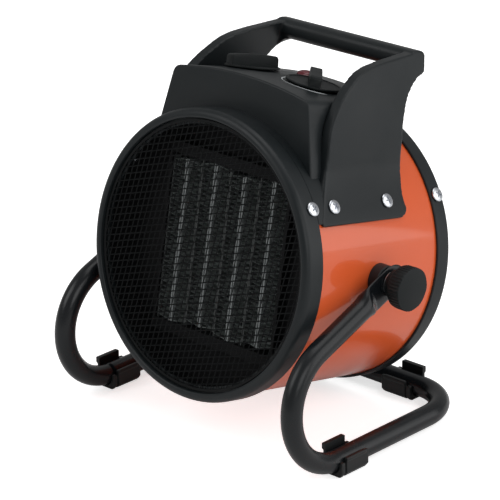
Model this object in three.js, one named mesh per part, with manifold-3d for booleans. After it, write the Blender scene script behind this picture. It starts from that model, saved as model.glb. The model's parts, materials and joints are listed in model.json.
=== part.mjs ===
// Portable forced air heater: a drum with a ceramic element, a fan and a bent tube stand.
// Millimetres, +Z up. The warm air leaves the drum towards -Y, and +X is the thermostat's side.
// The drum is modelled in its own frame, with Y along its axis to the rear, and leans back.
import * as THREE from 'three';
import { mergeVertices } from 'three/addons/utils/BufferGeometryUtils.js';
import Module from 'manifold-3d';

const wasm = await Module();
wasm.setup();

// ---------------------------------------------------------------- driving dimensions
const DEG = Math.PI / 180;
const GAP = 0.3;                  // clearance between neighbouring solids
const ROUND = 48;                 // segments round the drum
const SLIVER = 0.005;             // detail finer than this is closed up

const DRUM = {
  tilt: 11.5 * DEG,               // the drum leans back by this much at rest
  axisHeight: 126,                // drum axis above the floor, at the front ring's face
  depth: 140.5,                   // front ring's face to rear ring's face
  shell: 92.2,                    // outer radius of the steel shell
  sheet: 0.8,
  frontRing: 95,
  rearRing: 94,
  ringWall: 92.6,                 // inner radius of both rings over the shell
  frontRingEnd: 14.5,
  rearRingStart: 127.3,
  rearLip: 135.8,                 // front of the lip that the rear grille sits on
};
const GRILLE = { radius: 87.6, open: 81, front: 1.9, thick: 1.4, pitch: 17, bar: 2.6, rows: 16.4, columns: 11 };
const INLET = { radius: 86.9, open: 79, front: 138, thick: 1.4, pitch: 9.2, bar: 3.6, rib: 7 };
const SCREW = { head: 4.75, headHeight: 1.9, shank: 1.9, bore: 2.2, angle: 31 * DEG };

const HANDLE = {
  lean: 0.25,                     // the side plates lean inwards by this slope at the top
  curl: 0.00288,                  // and turn upright towards the drum
  leanHeight: 114.5,              // height above the drum axis where their outer faces
  halfWidth: 66.6,                // are this far from the middle
  plate: 8,
  saddle: 94.6,                   // outer radius of the saddle that hugs the drum
  saddleTo: 47 * DEG,             // the saddle reaches up to this angle
  saddleJoin: 61.8,               // and the plates flow into it at this height
  grip: { front: 114.5, rear: 129.2, bottom: 126.8, top: 140.2, round: 5.5 },
  corner: 4,                      // rounding of the top corners, seen from the front
  planCorner: 10,                 // rounding of the grip's rear corners, seen from above
  screws: [31.8, 82.7],
};
const HOUSING = {
  front: 21,
  rear: 101.5,
  crown: 118,                     // top of the arched panel above the axis, at its front edge
  fall: 0.07,                     // the panel falls towards the rear by this slope
  arch: 295,                      // radius of the panel's arch
  halfWidth: 59,                  // at the panel's corners
  taper: 0.213,                   // the side walls spread downwards by this slope
  foot: 66,                       // lowest height of the side walls
  fillet: 5,
  wall: 2.5,
  side: 5.5,
  skirtTo: 24,
};
const KNOB = {
  side: 27.2, back: 60.8,         // place of both knobs on the panel
  disc: 18.5, discHeight: 2.6, bar: 7.8, height: 9.4, lift: 0.5,
  shaft: 3, bore: 3.15, panelHole: 4.4,
  modeTurn: 75 * DEG, thermostatTurn: -42 * DEG,
};
const LAMP = { back: 84, radius: 5, flange: 6, dome: 2.6 };
const GLAND = { side: -30, height: 99, radius: 6, nut: 8, bore: 3.8, length: 13 };

const STAND = {
  tube: 7,                        // tube radius
  side: 104,                      // centre of the runs along the floor from the middle
  lean: 0.022,                    // the side loops lean inwards by this slope
  pad: 1.8,                       // feet under the tube
  bend: 40.6,                     // radius of the front bends
  bendBack: 16.2,                 // centre of the front bends behind the drum's front face
  rearBar: 136.5,                 // centre of the rear bar behind the drum's front face
  corner: 33,                     // radius of the rear corners
  paddle: 10, paddleThick: 3.2,   // flattened tube ends round the pivots
  flatTo: 16, roundFrom: 30,      // distances from the pivot where the tube is flat and round
  sides: 12,
};
const PIVOT = {
  back: 70.9, rise: 1.2,          // behind the drum's front face, and above its axis
  stud: 4, bore: 4.5, spacer: 10.3, washer: 8,
};
const LOCK = {
  hub: 9.2, flange: 13.7, flangeLength: 2,
  radius: 14.2, lobe: 0.25, lobes: 8, face: 0.97, bevel: 0.9,
  length: 9.8, end: 121.1,
};
const FOOT = {
  front: 22.7, rear: 56,          // centres along the side runs and along the rear bar
  half: 12.6, width: 9.4, tab: 9.9, tabThick: 2.6, tabFrom: -9.8, tabTo: 8.8,
};
const ELEMENT = {
  front: 22, depth: 15, modules: 4, pitch: 25.7, halfHeight: 54.5, step: 1.2,
  strip: 3.4, plate: 0.8, folds: 10, foil: 1.4, rail: 2.5, bar: 7.5,
};
const FAN = { centre: 55, hub: 15, radius: 79, blades: 5, pitch: 30 * DEG, thick: 1.5 };
const MOTOR = { front: 80, stack: 22, halfWidth: 28, top: 25, bottom: -44, limb: 10, shaft: 3, rotor: 17.4, bracket: 112 };

// ---------------------------------------------------------------- derived places
const tubeHeight = STAND.tube + STAND.pad;
const bendHeight = tubeHeight + STAND.bend;
const cosTilt = Math.cos(DRUM.tilt);
const sinTilt = Math.sin(DRUM.tilt);
const rearTop = DRUM.depth * cosTilt + DRUM.rearRing * sinTilt;
const standFront = STAND.bendBack - STAND.bend - STAND.tube;
const frontY = -(rearTop + standFront) / 2;      // puts the origin under the middle of the object
const pivotY = frontY + PIVOT.back * cosTilt + PIVOT.rise * sinTilt;
const pivotZ = DRUM.axisHeight - PIVOT.back * sinTilt + PIVOT.rise * cosTilt;
const bendY = frontY + STAND.bendBack;
const barY = frontY + STAND.rearBar;
const paddleSide = STAND.side - STAND.lean * (pivotZ - tubeHeight);
const paddleInner = paddleSide - STAND.paddleThick / 2;
const paddleOuter = paddleSide + STAND.paddleThick / 2;

// ---------------------------------------------------------------- finishes
const finish = (color, roughness, metalness = 0) => ({ color, roughness, metalness });
const BLACK = finish(0x24292b, 0.5);
const DARK = finish(0x1c1f20, 0.65);
const TUBE = finish(0x2b2f31, 0.4, 0.3);
const ORANGE = finish(0xd2501e, 0.25, 0.1);
const STEEL = finish(0xb9bcc0, 0.3, 1);
const ALUMINIUM = finish(0x9a9da0, 0.4, 1);
const COPPER = finish(0xa8552a, 0.4, 1);
const WHITE = finish(0xd8d6cf, 0.6);
const RED = finish(0xa01218, 0.15);

// ---------------------------------------------------------------- solid helpers
/** Turns a closed three.js geometry into a solid whose faces point outwards. */
function solid(geometry) {
  const bare = geometry.clone();
  for (const name of Object.keys(bare.attributes)) if (name !== 'position') bare.deleteAttribute(name);
  const merged = mergeVertices(bare, 1e-4);
  const points = merged.attributes.position.array;
  const index = Array.from(merged.index.array);
  const corner = (i) => new THREE.Vector3().fromArray(points, 3 * index[i]);
  let volume = 0;
  for (let i = 0; i < index.length; i += 3) volume += corner(i).dot(corner(i + 1).cross(corner(i + 2)));
  const faces = [];
  for (let i = 0; i < index.length; i += 3) {
    const [a, b, c] = index.slice(i, i + 3);
    if (a === b || b === c || c === a) continue;
    faces.push(...(volume < 0 ? [a, c, b] : [a, b, c]));
  }
  return new wasm.Manifold(new wasm.Mesh({
    numProp: 3,
    vertProperties: new Float32Array(points),
    triVerts: new Uint32Array(faces),
  }));
}

/** Turns a solid back into a three.js geometry, without its slivers. */
function geometryOf(body) {
  const mesh = body.simplify(SLIVER).getMesh();
  const geometry = new THREE.BufferGeometry();
  geometry.setAttribute('position', new THREE.BufferAttribute(mesh.vertProperties, 3));
  geometry.setIndex(new THREE.BufferAttribute(mesh.triVerts, 1));
  geometry.computeVertexNormals();
  return geometry;
}

const join = (...bodies) => bodies.flat().reduce((sum, body) => sum.add(body));

/** A box between two corners. */
function box(x0, x1, y0, y1, z0, z1) {
  const geometry = new THREE.BoxGeometry(x1 - x0, y1 - y0, z1 - z0);
  return solid(geometry.translate((x0 + x1) / 2, (y0 + y1) / 2, (z0 + z1) / 2));
}

/** A round bar from one point to another. */
function rod(from, to, radius, segments = 16) {
  const a = new THREE.Vector3(...from);
  const along = new THREE.Vector3(...to).sub(a);
  const geometry = new THREE.CylinderGeometry(radius, radius, along.length(), segments);
  const turn = new THREE.Quaternion().setFromUnitVectors(
    new THREE.Vector3(0, 1, 0), along.clone().normalize());
  geometry.applyQuaternion(turn);
  geometry.translate(...a.addScaledVector(along, 0.5).toArray());
  return solid(geometry);
}

/** A body turned round the Y axis. Its closed profile is a list of [radius, y]. */
function turned(profile, segments = ROUND) {
  const points = [...profile, profile[0]].map(([r, y]) => new THREE.Vector2(r, y));
  return solid(new THREE.LatheGeometry(points, segments));
}

/** A prism whose section lies in the XZ plane and which runs along Y. */
function alongY(section, y0, y1, curveSegments = 6) {
  const geometry = new THREE.ExtrudeGeometry(section, { depth: y1 - y0, bevelEnabled: false, curveSegments });
  return solid(geometry.rotateX(Math.PI / 2).translate(0, y1, 0));
}

/** A prism whose outline lies in the YZ plane and which runs along X. */
function alongX(outline, x0, x1, curveSegments = 6) {
  const geometry = new THREE.ExtrudeGeometry(outline, { depth: x1 - x0, bevelEnabled: false, curveSegments });
  const turn = new THREE.Matrix4().makeBasis(
    new THREE.Vector3(0, 1, 0), new THREE.Vector3(0, 0, 1), new THREE.Vector3(1, 0, 0));
  return solid(geometry.applyMatrix4(turn).translate(x0, 0, 0));
}

/** A prism that stands on z0 and runs up to z1. */
function alongZ(outline, z0, z1, curveSegments = 6) {
  const geometry = new THREE.ExtrudeGeometry(outline, { depth: z1 - z0, bevelEnabled: false, curveSegments });
  return solid(geometry.translate(0, 0, z0));
}

function polygon(points) {
  return new THREE.Shape(points.map(([x, y]) => new THREE.Vector2(x, y)));
}

function circle(radius, segments) {
  const step = 2 * Math.PI / segments;
  return Array.from({ length: segments }, (_, i) => [radius * Math.sin(i * step), radius * Math.cos(i * step)]);
}

function roundedRectangle(x0, x1, y0, y1, r) {
  const shape = new THREE.Shape();
  shape.moveTo(x0 + r, y0);
  shape.lineTo(x1 - r, y0);
  shape.absarc(x1 - r, y0 + r, r, -Math.PI / 2, 0);
  shape.lineTo(x1, y1 - r);
  shape.absarc(x1 - r, y1 - r, r, 0, Math.PI / 2);
  shape.lineTo(x0 + r, y1);
  shape.absarc(x0 + r, y1 - r, r, Math.PI / 2, Math.PI);
  shape.lineTo(x0, y0 + r);
  shape.absarc(x0 + r, y0 + r, r, Math.PI, 1.5 * Math.PI);
  return shape;
}

/** Part of a hoop round the drum axis, between two angles above the horizontal. */
function hoop(inner, outer, from, to, y0, y1, curveSegments = 10) {
  const section = new THREE.Shape();
  section.absarc(0, 0, outer, from, to, false);
  section.absarc(0, 0, inner, to, from, true);
  return alongY(section, y0, y1, curveSegments);
}

const mirrored = (body) => body.mirror([1, 0, 0]);
const moved = (body, x, y, z) => body.translate([x, y, z]);

/** A round bar on the radius that points at `angle` above the horizontal. */
function radialRod(angle, y, r0, r1, radius, segments = 12) {
  const [c, s] = [Math.cos(angle), Math.sin(angle)];
  return rod([r0 * c, y, r0 * s], [r1 * c, y, r1 * s], radius, segments);
}

// ---------------------------------------------------------------- scene groups
const heater = new THREE.Group();
const drum = new THREE.Group();
drum.position.set(0, frontY, DRUM.axisHeight);
drum.rotation.x = -DRUM.tilt;
heater.add(drum);

function add(parent, name, body, material) {
  const mesh = new THREE.Mesh(geometryOf(body), new THREE.MeshStandardMaterial(material));
  mesh.name = name;
  parent.add(mesh);
}

// ---------------------------------------------------------------- drum
const ringAngles = [SCREW.angle, Math.PI - SCREW.angle];
const frontScrewAt = 11.5;
const rearScrewAt = 133.5;
const drumCore = rod([0, -20, 0], [0, 160, 0], DRUM.shell + GAP, ROUND);

function ringBores(y) {
  return ringAngles.map((angle) => radialRod(angle, y, 80, 100, SCREW.bore, 8));
}

/** Screw on the radius at an angle, with the underside of its head at the seat's radius. */
function seatedScrew(angle, y, seat) {
  return radialRod(angle, y, seat, seat + SCREW.headHeight, SCREW.head)
    .add(radialRod(angle, y, 86.5, seat + 1, SCREW.shank, 8));
}

const handleBore = (y) => radialRod(SCREW.angle, y, 80, 100, SCREW.bore, 8);
const handleBores = HANDLE.screws.map(handleBore);
const bothSides = (bodies) => bodies.flatMap((body) => [body, mirrored(body)]);
const pivotRod = (x0, x1, radius, segments = 16) => rod(
  [x0, PIVOT.back, PIVOT.rise], [x1, PIVOT.back, PIVOT.rise], radius, segments);
const pivotBore = pivotRod(-130, 130, PIVOT.bore);

function frontRing() {
  const { frontRing: outer, ringWall, frontRingEnd: end } = DRUM;
  const profile = [
    [outer, end], [outer, 3.8], [94.1, 1.3], [92.2, 0], [90.2, -0.6], [88.9, 0.4], [88.6, 2],
    [88.6, 3.6], [84.6, 3.6], [84.6, 5.4], [ringWall, 5.4], [ringWall, end],
  ];
  return ringBores(frontScrewAt).reduce((ring, bore) => ring.subtract(bore), turned(profile));
}

function rearRing() {
  const { rearRing: outer, ringWall, rearRingStart: start, rearLip, depth } = DRUM;
  const profile = [
    [outer, start], [outer, 138.2], [93.2, 139.8], [91.6, depth], [88.6, depth], [87.4, 139.6],
    [87.4, 137.7], [84, 137.7], [84, rearLip], [ringWall, rearLip], [ringWall, start],
  ];
  return ringBores(rearScrewAt).reduce((ring, bore) => ring.subtract(bore), turned(profile));
}

function drumShell() {
  const inner = DRUM.shell - DRUM.sheet;
  const tube = turned([[DRUM.shell, 6], [DRUM.shell, 131], [inner, 131], [inner, 6]]);
  const bores = [...ringBores(frontScrewAt), ...bothSides(handleBores), pivotBore];
  return bores.reduce((shell, bore) => shell.subtract(bore), tube);
}

/** Flat disc with a plain rim round a field of bars. */
function barredDisc({ radius, open, front, thick }, bars) {
  const back = front + thick;
  const rim = turned([[radius, front], [radius, back], [open, back], [open, front]]);
  const field = rod([0, front, 0], [0, back, 0], open + 1, ROUND);
  return rim.add(join(bars).intersect(field));
}

/** Mesh of two rows of strands, which cross at a slant. */
function frontGrille() {
  const { open, front, thick, pitch, bar, rows, columns } = GRILLE;
  const count = Math.floor(open / pitch);
  const bars = [];
  for (let i = -count; i <= count; i += 1) {
    const from = i * pitch - bar / 2;
    bars.push(box(from, from + bar, front, front + thick, -open, open).rotate([0, columns, 0]));
    bars.push(box(-open, open, front, front + thick, from, from + bar).rotate([0, -rows, 0]));
  }
  return barredDisc(GRILLE, bars);
}

/** Rear disc with rows of inlet slots and two lugs that take the rear ring's screws. */
function rearGrille() {
  const { open, front, thick, pitch, bar, rib } = INLET;
  const rows = Math.floor(open / pitch);
  const bars = [box(-rib / 2, rib / 2, front, front + thick, -open, open)];
  for (let i = -rows; i <= rows; i += 1) {
    const from = i * pitch - bar / 2;
    bars.push(box(-open, open, front, front + thick, from, from + bar));
  }
  const lug = box(82.3, 83.6, 129, front + 0.5, -5, 5)
    .add(box(82.3, DRUM.shell - DRUM.sheet - 2 * GAP, 129, DRUM.rearLip - GAP, -5, 5));
  const body = join(barredDisc(INLET, bars), ringAngles.map((angle) => lug.rotate([0, -angle / DEG, 0])));
  return ringBores(rearScrewAt).reduce((grille, bore) => grille.subtract(bore), body);
}

add(drum, 'front_ring', frontRing(), BLACK);
add(drum, 'front_grille', frontGrille(), DARK);
add(drum, 'drum_shell', drumShell(), ORANGE);
add(drum, 'rear_ring', rearRing(), BLACK);
add(drum, 'rear_grille', rearGrille(), DARK);
for (const [i, place] of ['right', 'left'].entries()) {
  add(drum, `front_ring_screw_${place}`, seatedScrew(ringAngles[i], frontScrewAt, DRUM.frontRing + GAP), STEEL);
  add(drum, `rear_ring_screw_${place}`, seatedScrew(ringAngles[i], rearScrewAt, DRUM.rearRing + GAP), STEEL);
}

// ---------------------------------------------------------------- handle
/** Outline of a side plate, seen from the side, as [behind the front face, above the axis]. */
function plateOutline() {
  const curve = (points) => points.map(([y, z]) => new THREE.Vector2(y, z));
  const outline = new THREE.Shape();
  outline.moveTo(20, 37.6);
  outline.quadraticCurveTo(17.4, 38.2, 18.6, 42);
  outline.lineTo(26.6, 58);
  outline.splineThru(curve([[30.9, 70], [33.4, 93.5], [41.4, 108.7], [54, 120.9], [72.3, 131], [113, 138.2]]));
  outline.lineTo(123, 139.8);
  outline.quadraticCurveTo(129.2, 140, 129.2, 134.6);
  outline.lineTo(129.2, 129.5);
  outline.quadraticCurveTo(129, 127.3, 125.2, 125.8);
  outline.splineThru(curve([[117.2, 121.6], [107.6, 110.1], [103.2, 92], [103.2, 70], [101.6, 57]]));
  outline.quadraticCurveTo(99.4, 50, 100.8, 43.3);
  outline.quadraticCurveTo(99.5, 38.4, 92.7, 37.6);
  return outline;
}

/** How far a side plate's outer face stands out at a height above the drum's axis. */
function plateSide(height) {
  const { lean, curl, leanHeight, halfWidth } = HANDLE;
  const below = leanHeight - height;
  return halfWidth + lean * below - curl * Math.max(below, 0) ** 2;
}

/** Slab with a side plate's outline between two places across. */
const plateSlab = (x0, x1) => alongX(plateOutline(), x0, x1, 3);

/** The handle's solids, grown by `grow` where other pieces are cut to clear it. */
function handleBody(grow = 0) {
  const { grip, plate, saddle, saddleTo, saddleJoin, corner, planCorner, halfWidth, lean } = HANDLE;
  const shaped = plateSlab(-plate - grow, grow).refineToLength(16)
    .warp((p) => { p[0] += plateSide(p[2]); });
  const around = rod([0, 0, 0], [0, 150, 0], saddle + grow, ROUND);
  const skirt = around.intersect(plateSlab(50, 110))
    .subtract(rod([0, -1, 0], [0, 151, 0], DRUM.shell, ROUND))
    .subtract(box(0, 130, 0, 150, saddle * Math.sin(saddleTo) + grow, 160));
  const upper = shaped.subtract(box(0, 130, 0, 150, 0, saddleJoin));
  const lower = shaped.intersect(around).intersect(box(0, 130, 0, 150, 0, saddleJoin + 8));
  const right = join(upper, lower, skirt);
  const bar = alongX(roundedRectangle(grip.front, grip.rear, grip.bottom, grip.top, grip.round), -60, 60, 3);
  const whole = join(right, mirrored(right), bar);
  if (grow) return whole;
  const half = halfWidth - lean * (grip.top - HANDLE.leanHeight);
  const front = roundedRectangle(-half, half, 0, grip.top, corner);
  const topCorners = box(-90, 90, 0, 150, grip.top - corner, 160).subtract(alongY(front, -1, 151, 3));
  const plan = alongZ(roundedRectangle(-half, half, 0, grip.rear, planCorner), 100, 160)
    .warp((p) => { p[0] += Math.sign(p[0]) * lean * (grip.top - p[2]); });
  const rearCorners = box(-90, 90, grip.rear - planCorner, 160, 110, 150).subtract(plan);
  return whole.subtract(topCorners).subtract(rearCorners);
}

const handle = bothSides(handleBores).reduce((body, bore) => body.subtract(bore), handleBody())
  .subtract(drumCore);
add(drum, 'handle', handle, BLACK);
for (const [i, place] of ['front', 'rear'].entries()) {
  const screw = seatedScrew(SCREW.angle, HANDLE.screws[i], HANDLE.saddle + GAP);
  add(drum, `handle_screw_${place}_right`, screw, STEEL);
  add(drum, `handle_screw_${place}_left`, mirrored(screw), STEEL);
}

// ---------------------------------------------------------------- control housing
const panelHeight = (x, y) => HOUSING.crown - HOUSING.fall * (y - HOUSING.front) - x * x / 2 / HOUSING.arch;

/** Arched section of the housing, inset on its sides and under its panel. */
function housingSection(side, top) {
  const { halfWidth, taper, foot, arch, fillet, crown } = HOUSING;
  const half = halfWidth - side;
  const edge = crown - top - half * half / 2 / arch;
  const bottom = half + taper * (edge - foot);
  const section = new THREE.Shape();
  section.moveTo(-bottom, foot);
  section.lineTo(bottom, foot);
  section.lineTo(half + taper * fillet, edge - fillet);
  section.quadraticCurveTo(half, edge, half - fillet, edge + 0.8);
  section.quadraticCurveTo(0, 2 * (crown - top) - edge - 0.8, fillet - half, edge + 0.8);
  section.quadraticCurveTo(-half, edge, -half - taper * fillet, edge - fillet);
  return section;
}

function fallingPrism(side, top, y0, y1) {
  return alongY(housingSection(side, top), y0, y1, 8)
    .warp((p) => { p[2] -= HOUSING.fall * (p[1] - HOUSING.front); });
}

/** Group that stands on the panel at a place, with +Z out of the panel. */
function panelGroup(x, y) {
  const group = new THREE.Group();
  group.position.set(x, y, panelHeight(x, y));
  const normal = new THREE.Vector3(x / HOUSING.arch, HOUSING.fall, 1).normalize();
  group.quaternion.setFromUnitVectors(new THREE.Vector3(0, 0, 1), normal);
  drum.add(group);
  return group;
}

/** A round bore through the panel, square to it. */
function panelBore(x, y, radius) {
  const out = new THREE.Vector3(x / HOUSING.arch, HOUSING.fall, 1).normalize();
  const at = new THREE.Vector3(x, y, panelHeight(x, y));
  const point = (d) => at.clone().addScaledVector(out, d).toArray();
  return rod(point(-9), point(5), radius, 16);
}

function controlHousing() {
  const { front, rear, side, wall, skirtTo } = HOUSING;
  const outside = fallingPrism(0, 0, front, rear);
  const skirt = hoop(DRUM.shell, HANDLE.saddle, 25 * DEG, 155 * DEG, DRUM.frontRingEnd + GAP, skirtTo, 24);
  const hollow = fallingPrism(side, wall, front + wall, rear - wall);
  const cuts = [
    hollow, drumCore, handleBody(GAP), panelBore(KNOB.side, KNOB.back, KNOB.panelHole),
    panelBore(-KNOB.side, KNOB.back, KNOB.panelHole), panelBore(0, LAMP.back, LAMP.radius + GAP),
    rod([GLAND.side, rear - 8, GLAND.height], [GLAND.side, rear + 8, GLAND.height], GLAND.radius + GAP, 16),
  ];
  return cuts.reduce((body, cut) => body.subtract(cut), outside.add(skirt));
}
add(drum, 'control_housing', controlHousing(), BLACK);

/** Control knob: a flat disc with a bar across it, on the end of a shaft. */
function controlKnob(turn) {
  const { disc, discHeight, bar, height, lift, bore } = KNOB;
  const base = rod([0, 0, lift], [0, 0, lift + discHeight], disc, 36);
  const reach = Math.sqrt(disc ** 2 - (bar / 2) ** 2);
  const grip = new THREE.Shape();
  grip.moveTo(-reach, lift);
  grip.lineTo(reach, lift);
  grip.lineTo(reach - 0.8, height - 2);
  grip.quadraticCurveTo(0, height + 2, 0.8 - reach, height - 2);
  const across = alongY(grip, -bar / 2, bar / 2, 8);
  return base.add(across).subtract(rod([0, 0, 0], [0, 0, height - 2.6], bore, 12)).rotate([0, 0, turn / DEG]);
}

/** Turning shaft between a switch and its knob. */
const controlShaft = () => rod([0, 0, -6], [0, 0, KNOB.height - 3], KNOB.shaft, 12);

const modeGroup = panelGroup(-KNOB.side, KNOB.back);
const thermostatGroup = panelGroup(KNOB.side, KNOB.back);
add(modeGroup, 'mode_knob', controlKnob(KNOB.modeTurn), BLACK);
add(modeGroup, 'mode_shaft', controlShaft(), WHITE);
add(thermostatGroup, 'thermostat_knob', controlKnob(KNOB.thermostatTurn), BLACK);
add(thermostatGroup, 'thermostat_shaft', controlShaft(), STEEL);

/** Switch body with its threaded neck, hung under the panel. */
function controlBody(halfX, halfY, deep) {
  const top = -HOUSING.wall - 3 * GAP;
  const neck = rod([0, 0, top - 1], [0, 0, -0.6], KNOB.panelHole - GAP, 16);
  const socket = rod([0, 0, -6 - GAP], [0, 0, 1], KNOB.shaft + GAP, 12);
  return box(-halfX, halfX, -halfY, halfY, top - deep, top).add(neck).subtract(socket);
}
add(modeGroup, 'mode_switch', controlBody(14, 13, 13.5), WHITE);
add(thermostatGroup, 'thermostat_body', controlBody(13, 16, 14), DARK);

const lampGroup = panelGroup(0, LAMP.back);
function lampLens() {
  const { radius, flange, dome } = LAMP;
  const profile = [[0, -7], [radius - 0.2, -7], [radius - 0.2, 0.3], [flange, 0.3], [flange, 0.9]];
  for (let i = 1; i <= 4; i += 1) {
    const a = i * Math.PI / 8;
    profile.push([flange * Math.cos(a) * 0.96, 0.9 + dome * Math.sin(a)]);
  }
  profile[profile.length - 1][0] = 0;
  return turned(profile, 20).rotate([90, 0, 0]);
}
add(lampGroup, 'indicator_lens', lampLens(), RED);

function cableGland() {
  const { side, height, radius, nut, bore, length } = GLAND;
  const face = HOUSING.rear + GAP;
  const at = (y) => [side, y, height];
  return rod(at(face), at(face + 4), nut, 6)
    .add(rod(at(face - 6), at(face + length), radius, 16))
    .subtract(rod(at(face - 8), at(face + length + 2), bore, 12));
}
add(drum, 'cable_gland', cableGland(), DARK);

function terminalBlock() {
  const block = box(8, 38, 84, 98, 93.2, 103);
  const slots = [13, 23, 33].map((x) => rod([x, 91, 97], [x, 91, 110], 2.6, 10));
  return slots.reduce((body, slot) => body.subtract(slot), block);
}
add(drum, 'terminal_block', terminalBlock(), WHITE);

// ---------------------------------------------------------------- heating element
const elementBack = ELEMENT.front + ELEMENT.depth;
const elementHalfWidth = ELEMENT.modules * ELEMENT.pitch / 2;
const elementHalfHeight = ELEMENT.halfHeight + ELEMENT.step;

function elementFrame() {
  const { front, bar, rail } = ELEMENT;
  const side = elementHalfWidth + GAP;
  const top = elementHalfHeight + GAP;
  const outer = box(-side - rail, side + rail, front - 0.5, elementBack + 1, -top - bar, top + bar);
  return outer.subtract(box(-side, side, 0, 60, -top, top));
}

/** Corrugated foil between two uprights, joined to both. */
function elementFins(left, right) {
  const { front, halfHeight, folds, foil } = ELEMENT;
  const pitch = (2 * halfHeight - foil) / folds;
  const edge = (k, rise) => [k % 2 ? right : left, k * pitch + rise - halfHeight];
  const fins = [];
  for (let k = 0; k < folds; k += 1) {
    const fold = polygon([edge(k, 0), edge(k + 1, 0), edge(k + 1, foil), edge(k, foil)]);
    fins.push(alongY(fold, front + 0.5, elementBack - 0.5));
  }
  return fins;
}

/** One row of the element: a tube with the ceramic in it, fins on both sides and thin outer plates. */
function elementModule(index) {
  const { front, pitch, halfHeight, strip, plate, step } = ELEMENT;
  const half = (pitch - GAP) / 2;
  const upright = (x0, x1, inset) => box(x0, x1, front + inset, elementBack - inset, -halfHeight, halfHeight);
  const row = join(
    upright(-strip / 2, strip / 2, 0), upright(-half, plate - half, 0.4), upright(half - plate, half, 0.4),
    elementFins(plate / 2 - half, -strip / 4), elementFins(half - plate / 2, strip / 4));
  return moved(row, (index - (ELEMENT.modules - 1) / 2) * pitch, 0, index % 2 ? step : -step);
}

function airBaffle() {
  const side = elementHalfWidth + ELEMENT.rail + 2 * GAP;
  const top = elementHalfHeight + ELEMENT.bar + 2 * GAP;
  return rod([0, 28, 0], [0, 29, 0], DRUM.shell - DRUM.sheet - GAP, ROUND)
    .subtract(box(-side, side, 0, 60, -top, top));
}

/** Bimetal cut-out with two blade terminals, seated on the frame behind the baffle. */
function thermalCutout() {
  const base = elementHalfHeight + ELEMENT.bar + 2 * GAP;
  const y = elementBack;
  return join(
    rod([0, y, base], [0, y, base + 5], 7.5, 16), rod([0, y, base + 4], [0, y, base + 9], 6, 16),
    box(-4.6, -3.8, y - 1.5, y + 1.5, base + 8, base + 15), box(3.8, 4.6, y - 1.5, y + 1.5, base + 8, base + 15))
    .subtract(box(-20, 20, 0, 29 + GAP, 0, 100));
}
add(drum, 'element_frame', elementFrame(), DARK);
for (let i = 0; i < ELEMENT.modules; i += 1) add(drum, `element_module_${i + 1}`, elementModule(i), ALUMINIUM);
add(drum, 'air_baffle', airBaffle(), STEEL);
add(drum, 'thermal_cutout', thermalCutout(), STEEL);

// ---------------------------------------------------------------- fan and motor
function fanRotor() {
  const { centre, hub, radius, blades, pitch, thick } = FAN;
  const outline = new THREE.Shape();
  outline.moveTo(hub - 4, -9);
  outline.quadraticCurveTo(45, -25, radius - 8, -24);
  outline.quadraticCurveTo(radius, -12, radius, 2);
  outline.quadraticCurveTo(radius - 2, 16, radius - 12, 20);
  outline.quadraticCurveTo(40, 14, hub - 4, 9);
  const blade = alongZ(outline, -thick / 2, thick / 2, 4).rotate([pitch / DEG, 0, 0]).rotate([90, 0, 0]);
  const hubBody = rod([0, centre - 9, 0], [0, centre + 10, 0], hub, 20);
  const set = Array.from({ length: blades }, (_, i) => moved(blade.rotate([0, i * 360 / blades, 0]), 0, centre, 0));
  return join(hubBody, set).subtract(rod([0, centre - 6, 0], [0, centre + 20, 0], MOTOR.shaft + 0.1, 12));
}

function motorStack() {
  const { front, stack, halfWidth, top, bottom, limb, rotor } = MOTOR;
  const window = box(-14, 14, 0, 200, bottom + limb, bottom + 2.2 * limb);
  return box(-halfWidth, halfWidth, front + 5, front + 5 + stack, bottom, top)
    .subtract(window).subtract(rod([0, 60, 0], [0, 130, 0], rotor + 0.6, 24));
}

/** Wound bobbin round the lower limb of the stack. */
function motorCoil() {
  const { front, stack, bottom, limb } = MOTOR;
  const core = box(-20, 20, front + 5 - GAP, front + 5 + stack + GAP, bottom - GAP, bottom + limb + GAP);
  return box(-13.5, 13.5, front + 1, front + stack + 9, bottom - 6, bottom + 2.2 * limb - GAP).subtract(core);
}

/** Rotor core and shaft, which carry the fan. */
function motorShaft() {
  const { front, stack, shaft, rotor } = MOTOR;
  return join(
    rod([0, FAN.centre - 5, 0], [0, MOTOR.bracket - 0.8, 0], shaft, 12),
    rod([0, front + 6, 0], [0, front + stack + 4, 0], rotor, 24));
}

/** Bearing bridge over the front of the motor. */
function motorBridge() {
  const { front, halfWidth, shaft } = MOTOR;
  return join(
    box(-halfWidth + 2, halfWidth - 2, front + 1.2, front + 4.7, -6, 6), rod([0, front, 0], [0, front + 4.7, 0], 9, 16))
    .subtract(rod([0, 60, 0], [0, 100, 0], shaft + 0.1, 12));
}

/** Strap across the drum, with ends turned along the shell, that carries the motor. */
function motorBracket() {
  const { bracket, shaft, stack, front } = MOTOR;
  const span = 89.6;
  const motorBack = front + 5 + stack + GAP;
  return join(
    box(-span, span, bracket, bracket + 2, -12, 12),
    box(-span, -span + 2, bracket, bracket + 14, -12, 12), box(span - 2, span, bracket, bracket + 14, -12, 12),
    rod([0, bracket - 3, 0], [0, bracket + 5, 0], 9, 16),
    rod([-22, motorBack, 8], [-22, bracket + 1, 8], 3, 10), rod([22, motorBack, 8], [22, bracket + 1, 8], 3, 10))
    .subtract(rod([0, 60, 0], [0, bracket - GAP, 0], shaft + 0.1, 12));
}
add(drum, 'fan_rotor', fanRotor(), DARK);
add(drum, 'motor_stack', motorStack(), STEEL);
add(drum, 'motor_coil', motorCoil(), COPPER);
add(drum, 'motor_shaft', motorShaft(), STEEL);
add(drum, 'motor_bridge', motorBridge(), ALUMINIUM);
add(drum, 'motor_bracket', motorBracket(), STEEL);

// ---------------------------------------------------------------- pivots
const bushInner = DRUM.shell - DRUM.sheet - GAP;

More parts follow.
